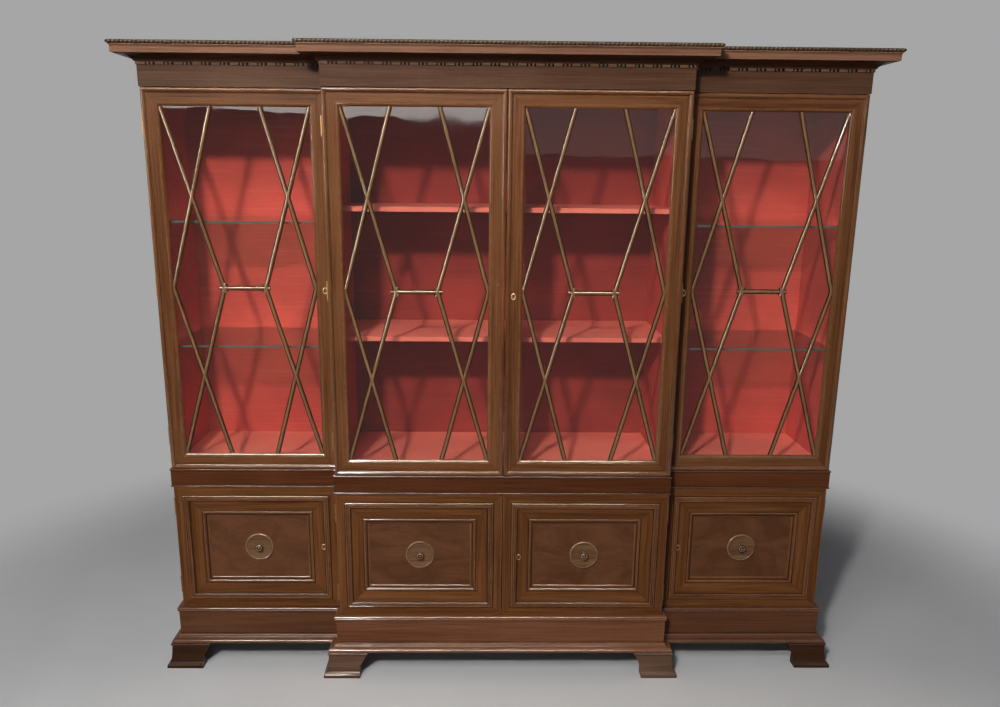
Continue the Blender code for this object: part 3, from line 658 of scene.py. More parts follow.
def joined(name, pieces):
    work = bmesh.new()
    for piece in pieces:
        work.from_mesh(piece.data)
    work.to_mesh(pieces[0].data)
    work.free()
    drop(pieces[1:])
    pieces[0].name = name
    return pieces[0]


def cutterOf(outline, low, high, place=onPlan):
    mesh = newMesh()
    addRun(mesh, [[place(*point, level) for point in outline] for level in (low, high)], [0.0] * len(outline))
    return meshObject("cutter", mesh)


def boxCutter(low, high):
    return cutterOf(corners(low, high), low[2], high[2])


def finished(piece, body, nodes, pick=None, angle=50):
    # pick gives the material's number for a face from its middle and its normal
    if pick:
        for face in piece.data.polygons:
            face.material_index = pick(face.center, face.normal)
    # eased edges shade round while the wide faces beside them stay flat
    piece.data.shade_smooth()
    piece.data.set_sharp_from_angle(angle=radians(angle))
    piece.modifiers.new("weigh", "WEIGHTED_NORMAL").keep_sharp = True
    applied(piece)
    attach(piece, body)
    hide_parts(*nodes)


# Trees that place small pieces along runs or on marks
def newTree(name, sizes):
    tree = bpy.data.node_groups.new(name, "GeometryNodeTree")
    tree.interface.new_socket("Geometry", in_out="OUTPUT", socket_type="NodeSocketGeometry")
    tree.interface.new_socket("Geometry", in_out="INPUT", socket_type="NodeSocketGeometry")
    for key, value in sizes.items():
        kind = {int: "Int", float: "Float"}.get(type(value), "Object")
        socket = tree.interface.new_socket(key, in_out="INPUT", socket_type="NodeSocket" + kind)
        socket.default_value = value
    tree.interface.new_socket("Material", in_out="INPUT", socket_type="NodeSocketMaterial")
    outputs = tree.nodes.new("NodeGroupInput").outputs
    return tree, {socket.name: Wire(socket) for socket in outputs if socket.name}


def endTree(geometry, source):
    whole = addNode(geometry.tree, "GeometryNodeRealizeInstances", {0: geometry})
    inputs = {"Geometry": whole, "Material": source["Material"]}
    painted = addNode(geometry.tree, "GeometryNodeSetMaterial", inputs)
    feed(geometry.tree.nodes.new("NodeGroupOutput"), {0: painted})
    return geometry.tree


def grown(name, tree, data, sizes, material):
    # the tree's result on a mesh, as a plain mesh at the origin
    piece = linked(name, data)
    modifier = piece.modifiers.new("tree", "NODES")
    modifier.node_group = tree
    values = {**sizes, "Material": material}
    for item in tree.interface.items_tree:
        if item.in_out == "INPUT" and item.name in values:
            modifier[item.identifier] = values[item.name]
    return applied(piece)


def pairsMesh(points):
    # separate edges, one for each pair of points
    data = bpy.data.meshes.new("runs")
    data.from_pydata(points, [(number, number + 1) for number in range(0, len(points), 2)], [])
    return data


def marksMesh(marks):
    # points, each with the way that it faces
    data = bpy.data.meshes.new("marks")
    data.from_pydata([place for place, facing in marks], [], [])
    layer = data.attributes.new("facing", "FLOAT_VECTOR", "POINT")
    layer.data.foreach_set("vector", [value for place, facing in marks for value in facing])
    return data


def transformed(geometry, **changes):
    return addNode(geometry.tree, "GeometryNodeTransform", {"Geometry": geometry, **changes})


def placedAlongRuns(tree, source, instance):
    # one copy in the middle of each repeat, a whole number of repeats to a run, turned to follow it
    runs = addNode(tree, "GeometryNodeMeshToCurve", {"Mesh": source["Geometry"]})
    length = addNode(tree, "GeometryNodeSplineLength", (), "Length")
    repeats = length.maths("DIVIDE", source["Pitch"]).maths("ROUND").maths("MAXIMUM", 1.0)
    inputs = {"Curve": runs, "Count": repeats.maths("MULTIPLY_ADD", 2.0, 1.0)}
    line = addNode(tree, "GeometryNodeResampleCurve", inputs)
    number = addNode(tree, "GeometryNodeSplineParameter", (), "Index")
    middle = number.maths("MODULO", 2.0).maths("COMPARE", 1.0, 0.1)
    run = {"Vector": addNode(tree, "GeometryNodeInputTangent")}
    turn = addNode(tree, "FunctionNodeAlignRotationToVector", run, axis="X", pivot_axis="Z")
    inputs = {"Points": line, "Selection": middle, "Instance": instance, "Rotation": turn}
    return addNode(tree, "GeometryNodeInstanceOnPoints", inputs)


def placedOnMarks(tree, source, instance, seed):
    # one copy on each mark, its own axis along the way the mark faces, turned at random about it
    facing = addNode(tree, "GeometryNodeInputNamedAttribute", {"Name": "facing"}, data_type="FLOAT_VECTOR")
    turn = addNode(tree, "FunctionNodeAlignRotationToVector", {"Vector": facing}, axis="Z")
    angle = addNode(tree, "FunctionNodeRandomValue", {"Seed": seed}, 1, data_type="FLOAT") * (2 * pi)
    spin = addNode(tree, "FunctionNodeAxisAngleToRotation", {"Axis": (0, 0, 1), "Angle": angle})
    inputs = {"Rotation": turn, "Rotate By": spin}
    whole = addNode(tree, "FunctionNodeRotateRotation", inputs, rotation_space="LOCAL")
    inputs = {"Points": source["Geometry"], "Instance": instance, "Rotation": whole}
    return addNode(tree, "GeometryNodeInstanceOnPoints", inputs)


# Mouldings that follow the case's front and ends
# dirt darkens the sunk ring at each mitre: a dark joint, with painted shade in its groove
mitreLook = Named(half=0.1 * mm, slope=0.9 * mm, sink=0.35 * mm, dirt=-0.55)


def casePath(level=0.0, out=0.0):
    end, middle = case.halfWidth + out, case.halfCentre + out
    wing, centre = case.wingFront - out, case.centreFront - out
    left = [(-end, case.back), (-end, wing), (-middle, wing), (-middle, centre)]
    return [Vector((x, y, level)) for x, y in left + [(-x, y) for x, y in reversed(left)]]


def caseRuns(level, out):
    path = casePath(level, out)
    return pairsMesh([point for pair in zip(path, path[1:]) for point in pair])


def mitreWays(path):
    # at each point of an open path, the way that a mitred section is set off to its right
    flat = [Vector(point[:2]) for point in path]
    runs = [(after - before).normalized() for before, after in zip(flat, flat[1:])]
    sides = [Vector((run.y, -run.x)) for run in runs]
    turns = [(before + after) / (1 + before.dot(after)) for before, after in zip(sides, sides[1:])]
    return [sides[0], *turns, sides[-1]]


def addMitredRun(mesh, full, sunk, startRing, endRing, openStart, openEnd):
    # startRing and endRing give the ring of a section there; the sunk one closes an end at a mitre
    start, end = startRing(full), endRing(full)
    along = (sum(end, Vector()) - sum(start, Vector())).normalized()
    rings, lifts = [], []
    ends = ((start, startRing, along, openStart), (end, endRing, -along, openEnd))
    for ring, ringAt, inward, isOpen in ends:
        rings.append([point + inward * mitreLook.slope for point in ring] if isOpen else ring)
        lifts.append(0.0)
        if isOpen:
            place = 0 if inward is along else len(rings)
            rings.insert(place, [point + inward * mitreLook.half for point in ringAt(sunk)])
            lifts.insert(place, mitreLook.dirt)
    addRun(mesh, rings, curvatureTones(full), lifts)


def addMitredPath(meshes, path, points, ease):
    # a section of (offset, level) points carried along a path, one mitred length into each mesh
    full = eased(arced(points), ease)
    least = min(point.x for point in full)
    sunk = [Vector((max(least, point.x - mitreLook.sink), point.y)) for point in full]
    ways = mitreWays(path)

    def ringAt(number):
        point, way = path[number], ways[number]
        return lambda section: [onPlan(point[0] + way.x * a, point[1] + way.y * a, b) for a, b in section]

    for number, mesh in enumerate(meshes):
        isLast = number + 1 == len(meshes)
        addMitredRun(mesh, full, sunk, ringAt(number), ringAt(number + 1), number > 0, not isLast)


def caseMoulding(points, ease=0.5 * mm):
    mesh = newMesh()
    path = casePath()
    addMitredPath([mesh] * (len(path) - 1), path, points, ease)
    return mesh


# Cornice with its carved rope edge; profiles are in mm out from the case and up from the piece's foot
corniceProfile = (
    (-20, 0), (5, 0, 0.5), (9, 3.2), (9, 5.5), (11, 5.5, -0.3), (46, 18.6),  # bead, fillet and cove
    (50, 18.6), (50, 21), (56.2, 21), (57.2, 20.2), (60.2, 20.2),  # soffit and drip
    (60.2, 39.4), (61, 39.4, -0.35), (64, 43.2),  # fascia and lip
)
shadedCoveTop = 20.6 * mm  # painted shade: the faces under it, in the fascia's shade, take the darker cove wood
ropeSizes = {
    "Pitch": 13.5 * mm,
    "Half length": 6.9 * mm,
    "Half thickness": 4.3 * mm,
    "Depth": 5.6 * mm,
    "Tilt": radians(42),
}
ropePlace = inMm(out=65.2, core=4.4, reach=28)


def closedAt(points, level):
    # a profile carried up to a level and back to its inner side
    return points + [(points[-1][0], level), (points[0][0], level)]


def makeCornice():
    low = case.corniceBottom + case.seat
    points = closedAt(profile(corniceProfile, low), case.ropeBottom - case.seat)
    piece = meshObject("cornice", caseMoulding(points), woods("cornice", "cove"))
    finished(piece, "case", ["cornice_moulding"], pick=lambda centre, normal: int(centre.z < low + shadedCoveTop))


def ropeTree():
    tree, source = newTree("ropeEdge", ropeSizes)
    lobe = addNode(tree, "GeometryNodeMeshUVSphere", {"Segments": 10, "Rings": 7, "Radius": 1.0})
    size = vector(tree, source["Half length"], source["Depth"], source["Half thickness"])
    lobe = transformed(lobe, Scale=size)
    lobe = transformed(lobe, Rotation=vector(tree, 0.0, source["Tilt"] * -1.0))
    lobe = addNode(tree, "GeometryNodeSetShadeSmooth", {"Geometry": lobe})
    return endTree(placedAlongRuns(tree, source, lobe), source)


def makeRopeEdge():
    low, high = case.ropeBottom, case.top
    middle = (low + high) / 2
    core, out = ropePlace.core, ropePlace.out
    inner = out - ropePlace.reach
    points = [(inner, low), (out, low), (out, middle - core, 1.0), (out, middle + core), (out - core, high),
              (inner, high)]
    piece = meshObject("rope_core", caseMoulding(points, 0.3 * mm), woods("ropeCore"))
    finished(piece, "case", ["cornice_rope_edge"])
    lobes = grown("rope_lobes", ropeTree(), caseRuns(middle, out), ropeSizes, mahoganies["rope"])
    finished(lobes, "case", ["cornice_rope_edge"], angle=80)


# Frieze with its fret course: a long block and two short ones to a repeat, in shares of the pitch
fretSizes = {
    "Pitch": 57.5 * mm,
    "Height": 8.6 * mm,
    "Depth": 6 * mm,
    "Long start": 0.04, "Long end": 0.50,
    "First start": 0.60, "First end": 0.70,
    "Second start": 0.82, "Second end": 0.92,
}
friezeLook = inMm(proud=1, sunk=1.2, fretProud=5)


def fretTree():
    tree, source = newTree("fretCourse", fretSizes)
    blocks = addNode(tree, "GeometryNodeJoinGeometry")
    for part in ("Long", "First", "Second"):
        start, end = source[part + " start"], source[part + " end"]
        size = vector(tree, (end - start) * source["Pitch"], source["Depth"], source["Height"])
        place = vector(tree, ((start + end) * 0.5 - 0.5) * source["Pitch"])
        cube = addNode(tree, "GeometryNodeMeshCube", {"Size": size})
        feed(blocks.socket.node, {0: transformed(cube, Translation=place)})
    return endTree(placedAlongRuns(tree, source, blocks), source)


def makeFrieze():
    low, high = case.friezeBottom + case.seat, case.corniceBottom
    proud = friezeLook.proud
    inner, ground = proud - case.board, proud - friezeLook.sunk
    groove = high - fretSizes["Height"] - 1 * mm
    points = [(inner, low), (proud, low), (proud, groove), (ground, groove + 0.4 * mm), (ground, high),
              (inner, high)]
    board = meshObject("frieze", caseMoulding(points), woods("frieze", "fretGround"))
    # the faces above the groove are the fret's sunk ground, painted near-black as shade
    finished(board, "case", ["frieze_board"], pick=lambda centre, normal: int(centre.z > groove))
    runs = caseRuns(high - case.seat - fretSizes["Height"] / 2, friezeLook.fretProud - fretSizes["Depth"] / 2)
    fret = grown("fret_course", fretTree(), runs, fretSizes, mahoganies["fret"])
    finished(fret, "case", ["frieze_board"])


# Waist band and plinth: each profile's lower half, then its upper half, measured down from its top
waistProfiles = (
    ((-24, 0), (3.5, 0, 0.25), (5, 1.6), (5, 4.2, 0.35), (3.1, 5.6), (2.5, 6.4)),
    ((2.5, -6.4), (3.1, -5.6, 0.35), (5, -4.2), (5, -1.8, 0.35), (3.5, 0), (-24, 0)),
)
waistLap = 12 * mm  # of the base's top board over the band's skirt
plinthProfiles = (
    ((-16, 0), (35, 0, 0.3), (38, 3.5), (38, 8.6, 0.3), (34, 12.6), (32, 12.6),  # torus
     (32, 14, -0.32), (16, 26.6), (13.7, 26.6), (13.7, 29.6), (11.4, 29.6)),  # cyma
    ((11.4, -16), (12.6, -15.4, 0.9), (12.6, -8.6), (12, -8), (14.6, -7.4, 0.7), (14.4, 0),  # two beads
     (-46, 0), (-46, -16), (-16, -16)),
)
plinthReach = 38 * mm


def makeWaistAndPlinth():
    low, high = waistProfiles
    mesh = caseMoulding(profile(low, case.waistBottom) + profile(high, case.waistTop))
    board = [(point.x, point.y) for point in casePath(0.0, -waistLap)]
    board[0] = (board[0][0], case.back)
    board[-1] = (board[-1][0], case.back)
    addPrism(mesh, board, case.waistTop - case.board, case.waistTop - case.seat, onPlan, 0.3 * mm)
    finished(meshObject("waist_band", mesh, woods("waist")), "case", ["waist_board"])
    low, high = plinthProfiles
    mesh = caseMoulding(profile(low, case.footTop) + profile(high, case.plinthTop))
    side = case.halfCentre + plinthReach
    piece = meshObject("plinth_moulding", mesh, woods("plinth", "wingPlinth"))
    finished(piece, "case", ["plinth"], pick=lambda centre, normal: int(abs(centre.x) > side))


# Bracket feet
footProfile = (
    (8, 0), (56.2, 0), (57, 0.8), (57, 11, 0.3), (54.4, 14.6), (52.6, 14.6), (52.6, 16.4, -0.38),  # toe
    (44.8, 30), (44.8, 31.6), (43.4, 31.6, -0.03), (38.8, 84), (39.4, 85.6), (41.6, 86.2, 0.3),  # knee
)
footLook = inMm(
    frontArm=104, sideArm=130, backArm=110,  # how far each arm runs from its corner
    reach=67, scrollWidth=28, scrollTop=86, scrollHeight=40, past=5,
)
scrollSteps = 18


def scrollCutter(end, inward, place, low, high):
    look = footLook
    outline = [(end - inward * look.past, look.scrollTop)]
    for step in range(scrollSteps + 1):
        share = step / scrollSteps
        drop = look.scrollHeight * share * share * (3 - 2 * share)
        outline.append((end + inward * look.scrollWidth * share, look.scrollTop - drop))
    outline += [(end + inward * look.scrollWidth, -look.past), (end - inward * look.past, -look.past)]
    return cutterOf(outline, low, high, place)


def makeFoot(place, side, path, cutters):
    meshes = [newMesh() for number in path[1:]]
    points = closedAt(profile(footProfile), case.footTop - case.seat)
    addMitredPath(meshes, path, points, 0.5 * mm)
    skin = woods("feet" if place == "centre" else "wingFeet")
    arms = [meshObject("arm", mesh, skin) for mesh in meshes]
    for arm, cutter in zip(arms, cutters):
        if cutter:
            carve(arm, [cutter])
    foot = joined("foot_" + place + "_" + side, arms)
    finished(foot, "case", [place + "_foot_" + side])


def makeFeet():
    look = footLook
    wing, centre, back = case.wingFront, case.centreFront, case.back
    for side, hand in hands:
        end, middle = hand * case.halfWidth, hand * case.halfCentre
        outside = sorted((end, end + hand * look.reach))
        frontEnd, innerEnd = end - hand * look.frontArm, middle - hand * look.frontArm
        sideEnd, backEnd = wing + look.sideArm, back - look.backArm
        frontCut = scrollCutter(frontEnd, hand, onFront, wing - look.reach, wing)
        sideCut = scrollCutter(sideEnd, -1, onSide, *outside)
        path = [(end, sideEnd), (end, wing), (frontEnd, wing)][::-hand]
        makeFoot("front", side, path, [sideCut, frontCut][::-hand])
        cut = scrollCutter(innerEnd, hand, onFront, centre - look.reach, centre)
        path = [(middle, wing), (middle, centre), (innerEnd, centre)][::-hand]
        makeFoot("centre", side, path, [None, cut][::-hand])
        cut = scrollCutter(backEnd, 1, onSide, *outside)
        makeFoot("back", side, [(end, back), (end, backEnd)][::-hand], [cut])


makeCornice()
makeRopeEdge()
makeFrieze()
makeWaistAndPlinth()
makeFeet()
print("bookcase: cornice, frieze, waist, plinth and feet made")


# Locks: the bolts come from the frame, and their slots and mortises are cut round them
lockSizes = inMm(play=0.3, mortise=9.5, slotOut=4.5, plateLength=70, plateWidth=12, plateProud=0.15,
                 plateSunk=1.2, screwReach=28)


def boltCutter(bay, row, edge=None):
    # the way of a bolt through its own stile, or its mortise in the edge that it meets
    low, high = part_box(bay.name + "_" + row + "_lock_bolt")
    play = Vector([lockSizes.play] * 3)
    low, high = low - play, high + play
    ends = (low.x, high.x, bay.lockEdge - bay.hand * lockSizes.slotOut)
    if edge:
        ends = (edge + bay.hand * lockSizes.slotOut, edge - bay.hand * lockSizes.mortise)
    low.x, high.x = min(ends), max(ends)
    return boxCutter(low, high)


# Boards of the two cases
boardLook = inMm(paintFrom=23, notch=24.3)


def caseBoard(name, low, high, split=None):
    # an upright board; split puts an edge on its outer face where the paint starts
    outline = corners(low, high)
    if split:
        outline.insert(2 if split[0] == high[0] else 4, split)
    mesh = newMesh()
    addPrism(mesh, outline, low[2], high[2])
    return meshObject(name, mesh, [mahoganies["sides"], skins.red, mahoganies["linings"]])


def makeCaseBoards():
    seat, board = case.seat, case.board
    wingEdge, centreEdge = case.wingFront + case.setback, case.centreFront + case.setback
    paintFrom = case.wingFront + boardLook.paintFrom
    for side, hand in hands:
        end, middle = hand * case.halfWidth, hand * case.halfCentre
        endX, middleX = sorted((end, end - hand * board)), sorted((middle, middle - hand * board))
        wingBay = bays[0] if hand < 0 else bays[3]

        def painted(centre, normal):
            return int(normal.x * hand < -0.5)

        def paintedTwice(centre, normal):
            return int(normal.x * hand < -0.5 or (centre.y > paintFrom and normal.x * hand > 0.5))

        def lined(centre, normal):
            return 2 if normal.x * hand < -0.5 or normal.z * normal.z > 0.5 else 0

        piece = caseBoard("upper_case_" + side + "_end", (endX[0], wingEdge, case.waistTop + seat),
                          (endX[1], case.back, case.friezeBottom))
        finished(piece, "case", ["upper_end_" + side], pick=painted)
        piece = caseBoard("base_" + side + "_end", (endX[0], wingEdge, case.plinthTop + seat),
                          (endX[1], case.back, case.waistBottom - seat))
        finished(piece, "case", ["lower_end_" + side], pick=lined)
        low = (middleX[0], centreEdge, case.waistTop + case.floorBoard + 2 * seat)
        high = (middleX[1], case.backFace, case.friezeBottom)
        piece = caseBoard("upper_case_" + side + "_partition", low, high, (middle, paintFrom))
        carve(piece, [boltCutter(wingBay, "upper", middle)])
        finished(piece, "case", ["upper_partition_" + side], pick=paintedTwice)
        low = (middleX[0], centreEdge, case.plinthTop + case.floorBoard + 2 * seat)
        high = (middleX[1], case.backFace, case.waistTop - board - seat)
        piece = caseBoard("base_" + side + "_partition", low, high)
        notch = boxCutter((middleX[0] - board, centreEdge - board, case.waistBottom - seat),
                          (middleX[1] + board, case.wingFront + boardLook.notch, case.waistTop))
        carve(piece, [notch, boltCutter(wingBay, "lower", middle)])
        finished(piece, "case", ["lower_partition_" + side], pick=lined)


makeCaseBoards()
print("bookcase: ends and partitions made")


# Keyholes and their plates
keyholeLook = inMm(
    halfWidth=7.5, halfHeight=11, thickness=1.3,
    eye=2.3, slotHalf=1.1, slotDown=5.6, eyeUp=1.6, depth=8, through=12,
    upperWing=(615, 1411), upper=(26.6, 1404), lowerWing=(655, 467), lower=(60, 459),  # across and level
)
plateLean = Named(angle=radians(6.6), depth=-0.8 * mm)  # onto the cupboard doors' sloping member
plateRings = (  # size, depth in thicknesses, and how bright each ring is rubbed: over the rim, into the dish
    (1.0, 0.6 / 1.3, 0.2), (1.0, -0.55, 0.9), (0.95, -0.9, 0.9), (0.87, -1, 0.9), (0.8, -0.86, 0.2),
    (0.74, -0.5, -0.9), (0.6, -0.42, -0.9),
)


def keyholeSpot(bay, row):
    across, level = keyholeLook[row + "Wing" if bay.wing else row]
    return bay.hand * across, level


def keyholeCutter(bay, row, depth=keyholeLook.depth):
    # an eye over a slot
    look = keyholeLook
    across, level = keyholeSpot(bay, row)
    angles = [radians(-62 + 304 * step / 14) for step in range(15)]
    outline = [(look.eye * cos(angle), look.eyeUp + look.eye * sin(angle)) for angle in angles]
    neck = look.eyeUp - look.eye * 0.88
    outline += [(-look.slotHalf, neck), (-look.slotHalf, -look.slotDown), (look.slotHalf, -look.slotDown),
                (look.slotHalf, neck)]
    outline = [(across + x, level + z) for x, z in outline]
    return cutterOf(outline, bay.face - look.through, bay.face + depth, onFront)


def makeKeyholePlate(bay, row):
    look = keyholeLook
    across, level = keyholeSpot(bay, row)
    angles = [2 * pi * step / 36 for step in range(36)]
    rings = []
    for size, depth, rubbed in plateRings:
        wide, tall, deep = size * look.halfWidth, size * look.halfHeight, bay.face + depth * look.thickness
        rings.append([onFront(across + wide * cos(angle), level + tall * sin(angle), deep)
                      for angle in angles])
    mesh = newMesh()
    addRun(mesh, rings, [0.0] * len(angles), [rubbed for size, depth, rubbed in plateRings])
    plate = meshObject(bay.name + "_" + row + "_keyhole_plate", mesh, [skins.plate])
    if row == "lower":
        pivot = Vector((across, bay.face, 0.0))
        move = Matrix.Translation(pivot + Vector((0.0, plateLean.depth, 0.0)))
        turn = Matrix.Rotation(plateLean.angle * bay.hand, 4, "Z")
        plate.data.transform(move @ turn @ Matrix.Translation(-pivot))
    carve(plate, [keyholeCutter(bay, row, look.through)])
    finished(plate, bay.name + "_" + row + "_door", [bay.name + "_" + row + "_frame"])


# Mitred frames of the doors; profiles are in mm in from the member's edge and back from the door's face
glazedDoor = inMm(member=56, wingLockStile=46, thickness=22, bead=9, beadDepth=10, rebate=8, edge=15,
                  edgeSetback=0.6)
beadProfile = ((0, 10), (0, 0.9, 0.30), (7.6, 4.4), (8.0, 5.4), (9, 5.6), (9, 10))
edgeProfile = ((0, 0.6), (0, -3.3, 0.42), (12.4, -3.9), (12.6, -2.6, 0.2), (14.6, -1.6), (15, -0.9),
               (15, 0.6))
cupboardMember = 115 * mm
cupboardProfile = (
    (0, 22), (0, 0), (31, 0), (31.3, -3.9, 0.62), (37.9, -4.9), (38.5, -4.7),  # flat, then the outer bead
    (38.8, -6.4), (43.2, -6.6), (43.5, -6), (44.1, -6), (44.4, -6.6), (48.9, -6.5),  # two flat members
    (49.8, -5.4, -0.2), (52.6, -1.4), (54.4, -1.1), (73, 1.3), (94, 5.2),  # cove and slope
    (94.4, 4.2, 0.55), (103, 5.2), (104.6, 6), (105.4, 8.6), (110.8, 9.2, 0.3), (115, 11.6),  # inner beads
    (115, 13), (95, 13), (95, 22),
)
doorSides = ("low", "right", "high", "left")


def evenly(value, **others):
    return {**{side: value for side in doorSides}, **others}


def doorRect(bay, row):
    return {"left": bay.left, "right": bay.right, "low": doorLevels[row][0], "high": doorLevels[row][1]}


def insetRect(rect, insets):
    ways = {"left": 1, "low": 1, "right": -1, "high": -1}
    return {side: rect[side] + ways[side] * insets[side] for side in rect}


def rectCorners(rect):
    return [Vector(corner) for corner in corners((rect["left"], rect["low"]), (rect["right"], rect["high"]))]


def glazedWidths(bay):
    widths = evenly(glazedDoor.member)
    if bay.wing:
        widths[bay.lockSide] = glazedDoor.wingLockStile
    return widths


def addMember(mesh, rect, widths, side, points, face, ease=0.4 * mm):
    # one member of a mitred frame; a side of no width lets its neighbours end square
    number = doorSides.index(side)
    outer, inner = rectCorners(rect), rectCorners(insetRect(rect, widths))
    full = eased(arced(points), ease)
    deepest = max(point.y for point in full)
    sunk = [Vector((point.x, min(deepest, point.y + mitreLook.sink))) for point in full]

    def ringAt(corner):
        def ring(section):
            places = [outer[corner].lerp(inner[corner], inset / widths[side]) for inset, depth in section]
            return [onFront(place.x, place.y, face + depth) for place, (inset, depth) in zip(places, section)]
        return ring

    isOpen = [widths[doorSides[near % 4]] > 0 for near in (number - 1, number + 1)]
    addMitredRun(mesh, full, sunk, ringAt(number), ringAt((number + 1) % 4), *isOpen)


def frameMembers(bay, row, widths, skin, pointsFor, ease):
    # the four members, with the lock's slot and keyhole or the other door's mortise in the lock stile
    members = []
    for side in doorSides:
        mesh = newMesh()
        addMember(mesh, doorRect(bay, row), widths, side, pointsFor(side), bay.face, ease)
        members.append(meshObject("member", mesh, skin))
        if side == bay.lockSide and bay.locked:
            carve(members[-1], [boltCutter(bay, row), keyholeCutter(bay, row)])
        elif side == bay.lockSide:
            carve(members[-1], [boltCutter(bays[2], row, bay.lockEdge)])
    return members


def makeGlazedFrame(bay):
    look = glazedDoor
    rect = doorRect(bay, "upper")
    flats = {side: width - look.bead for side, width in glazedWidths(bay).items()}

    def flatPoints(side):
        wide, deep = flats[side], look.beadDepth
        lap = wide + look.bead - look.rebate
        return [(0, look.thickness), (0, 0), (wide, 0), (wide, deep), (lap, deep), (lap, look.thickness)]

    members = frameMembers(bay, "upper", flats, woods("doors"), flatPoints, 0.6 * mm)
    trims = newMesh()
    edges = evenly(look.edge)
    if bay.wing:
        edges[bay.lockSide] = 0.0
    for side in doorSides:
        addMember(trims, insetRect(rect, flats), evenly(look.bead), side, profile(beadProfile), bay.face)
        if edges[side]:
            outside = insetRect(rect, evenly(look.edgeSetback))
            addMember(trims, outside, edges, side, profile(edgeProfile), bay.face)
    piece = joined(bay.name + "_glazed_frame", members + [meshObject("trims", trims, woods("doors"))])
    finished(piece, bay.name + "_upper_door", [bay.name + "_upper_frame"])


def makeCupboardFrame(bay):
    widths, points = evenly(cupboardMember), profile(cupboardProfile)
    members = frameMembers(bay, "lower", widths, woods("cupboards"), lambda side: points, 0.4 * mm)
    piece = joined(bay.name + "_cupboard_frame", members)
    finished(piece, bay.name + "_lower_door", [bay.name + "_lower_frame"])


# Roundel pulls
pullSizes = inMm(wing=892.75, middle=297.5, level=463.5, seat=13, knob=11.9)
pullProfile = (
    (0, 0), (51.3, 0), (51.5, 4.4), (51.1, 6.1), (50, 7.1), (48.6, 7.4), (47.2, 7), (46.4, 6.1),  # rim
    (45.6, 5.6), (41, 4.6), (34, 3.5), (26, 2.9), (17, 2.8), (12, 3.3), (8.8, 4.6), (7.1, 6.4),  # dish
    (6.6, 8.4), (6.9, 10.2), (9.4, 12), (12.6, 13.4), (14.1, 14.9), (14.4, 16.3), (13.8, 17.7),  # knob
    (12.4, 18.5), (11, 18.5), (10.5, 17.9), (9.9, 17.8), (9.3, 18.6), (8.2, 19.2), (7.3, 19.1),
    (6.8, 18.7), (6.1, 19.1), (4.2, 20.2), (2.1, 20.8), (0, 21),
)
pullShadeAndHighlightRings = [  # painted highlights on the knob's crests and centre, dirt and painted shade in its groove, painted shade round its foot: radius in mm, tone
    (0, 0.6), (3, 0.6), (4.6, -0.9), (7.2, -0.9), (8.8, 0.6), (10.8, 0.5), (12.6, -0.9), (15, -0.9),
]


def paintedRingTone(radius):
    for (near, first), (far, second) in zip(pullShadeAndHighlightRings, pullShadeAndHighlightRings[1:]):
        if radius <= far:
            return first + (second - first) * (radius - near) / (far - near)
    return 0.0


def addRoundel(mesh, points, across, level, base, sides):
    addTurning(mesh, points, (across, level), lambda x, z, rise: onFront(x, z, base - rise), sides)


def makePull(bay):
    across = bay.hand * (pullSizes.wing if bay.wing else pullSizes.middle)
    base = bay.face + pullSizes.seat
    mesh = newMesh()
    addRoundel(mesh, profile(pullProfile), across, pullSizes.level, base, 96)
    # the knob's face takes the rings of painted highlight and painted shade
    for number, point in enumerate(mesh.points):
        if base - point.y > pullSizes.knob:
            mesh.tones[number] = paintedRingTone(Vector((point.x - across, point.z - pullSizes.level)).length / mm)
    pull = meshObject(bay.name + "_roundel_pull", mesh, woods("pulls"))
    finished(pull, bay.name + "_lower_door", [bay.name + "_pull"], angle=40)


# An old screw hole in the centre-left door's free stile, filled with dark wax
waxLook = inMm(across=-24.5, level=1443, radius=3.4, proud=0.3, seat=0.2)


def makeWaxSpot(bay):
    radius, high = waxLook.radius, waxLook.seat + waxLook.proud
    points = [(0, 0), (radius, 0), (radius, 0.7 * high), (0.9 * radius, 0.95 * high), (0, high)]
    mesh = newMesh()
    addRoundel(mesh, points, waxLook.across, waxLook.level, bay.face + waxLook.seat, 20)
    spot = meshObject("wax_filled_hole", mesh, [skins.hollow])
    finished(spot, bay.name + "_upper_door", [bay.name + "_upper_frame"])


# Astragal lattice
latticeSizes = {"Bar width": 16 * mm, "Bar height": 9 * mm, "Grain shift": 1.7}
# rubbed lightens the bar crowns as wear and painted highlight; dirt darkens the fillets as dirt and painted
# shade
latticeLook = Named(depth=10 * mm, play=0.3 * mm, quirkLow=2.8 * mm, quirkTop=5.1 * mm, rubbed=0.25,
                    dirt=-0.6)
barProfile = (
    (-7, 0), (7, 0), (7, 3.2, 0.3), (6.3, 3.8), (5.5, 3.2), (4.3, 3.2), (4.3, 4.7, 0.98),
    (-4.3, 4.7), (-4.3, 3.2), (-5.5, 3.2), (-6.3, 3.8, 0.3), (-7, 3.2),
)
barWide, barHigh = 14 * mm, 9 * mm  # of the profile; the tree scales a section that is one wide and one high
latticeShares = [  # from end to end of each bar, in shares of the daylight
    ((0, 1), (0.355, 0.5)), ((0.355, 0.5), (0, 0)), ((1 / 3, 1), (0, 0.5)), ((0, 0.5), (1 / 3, 0)),
    ((1, 1), (0.645, 0.5)), ((0.645, 0.5), (1, 0)), ((2 / 3, 1), (1, 0.5)), ((1, 0.5), (2 / 3, 0)),
    ((0.355, 0.5), (0.645, 0.5)),
]


def barSection():
    outline = eased(arced(profile(barProfile), 8), 0.3 * mm)
    data = bpy.data.meshes.new("barSection")
    edges = [(number, (number + 1) % len(outline)) for number in range(len(outline))]
    data.from_pydata([(point.x / barWide, point.y / barHigh, 0.0) for point in outline], edges, [])
    return linked("bar_section", data)


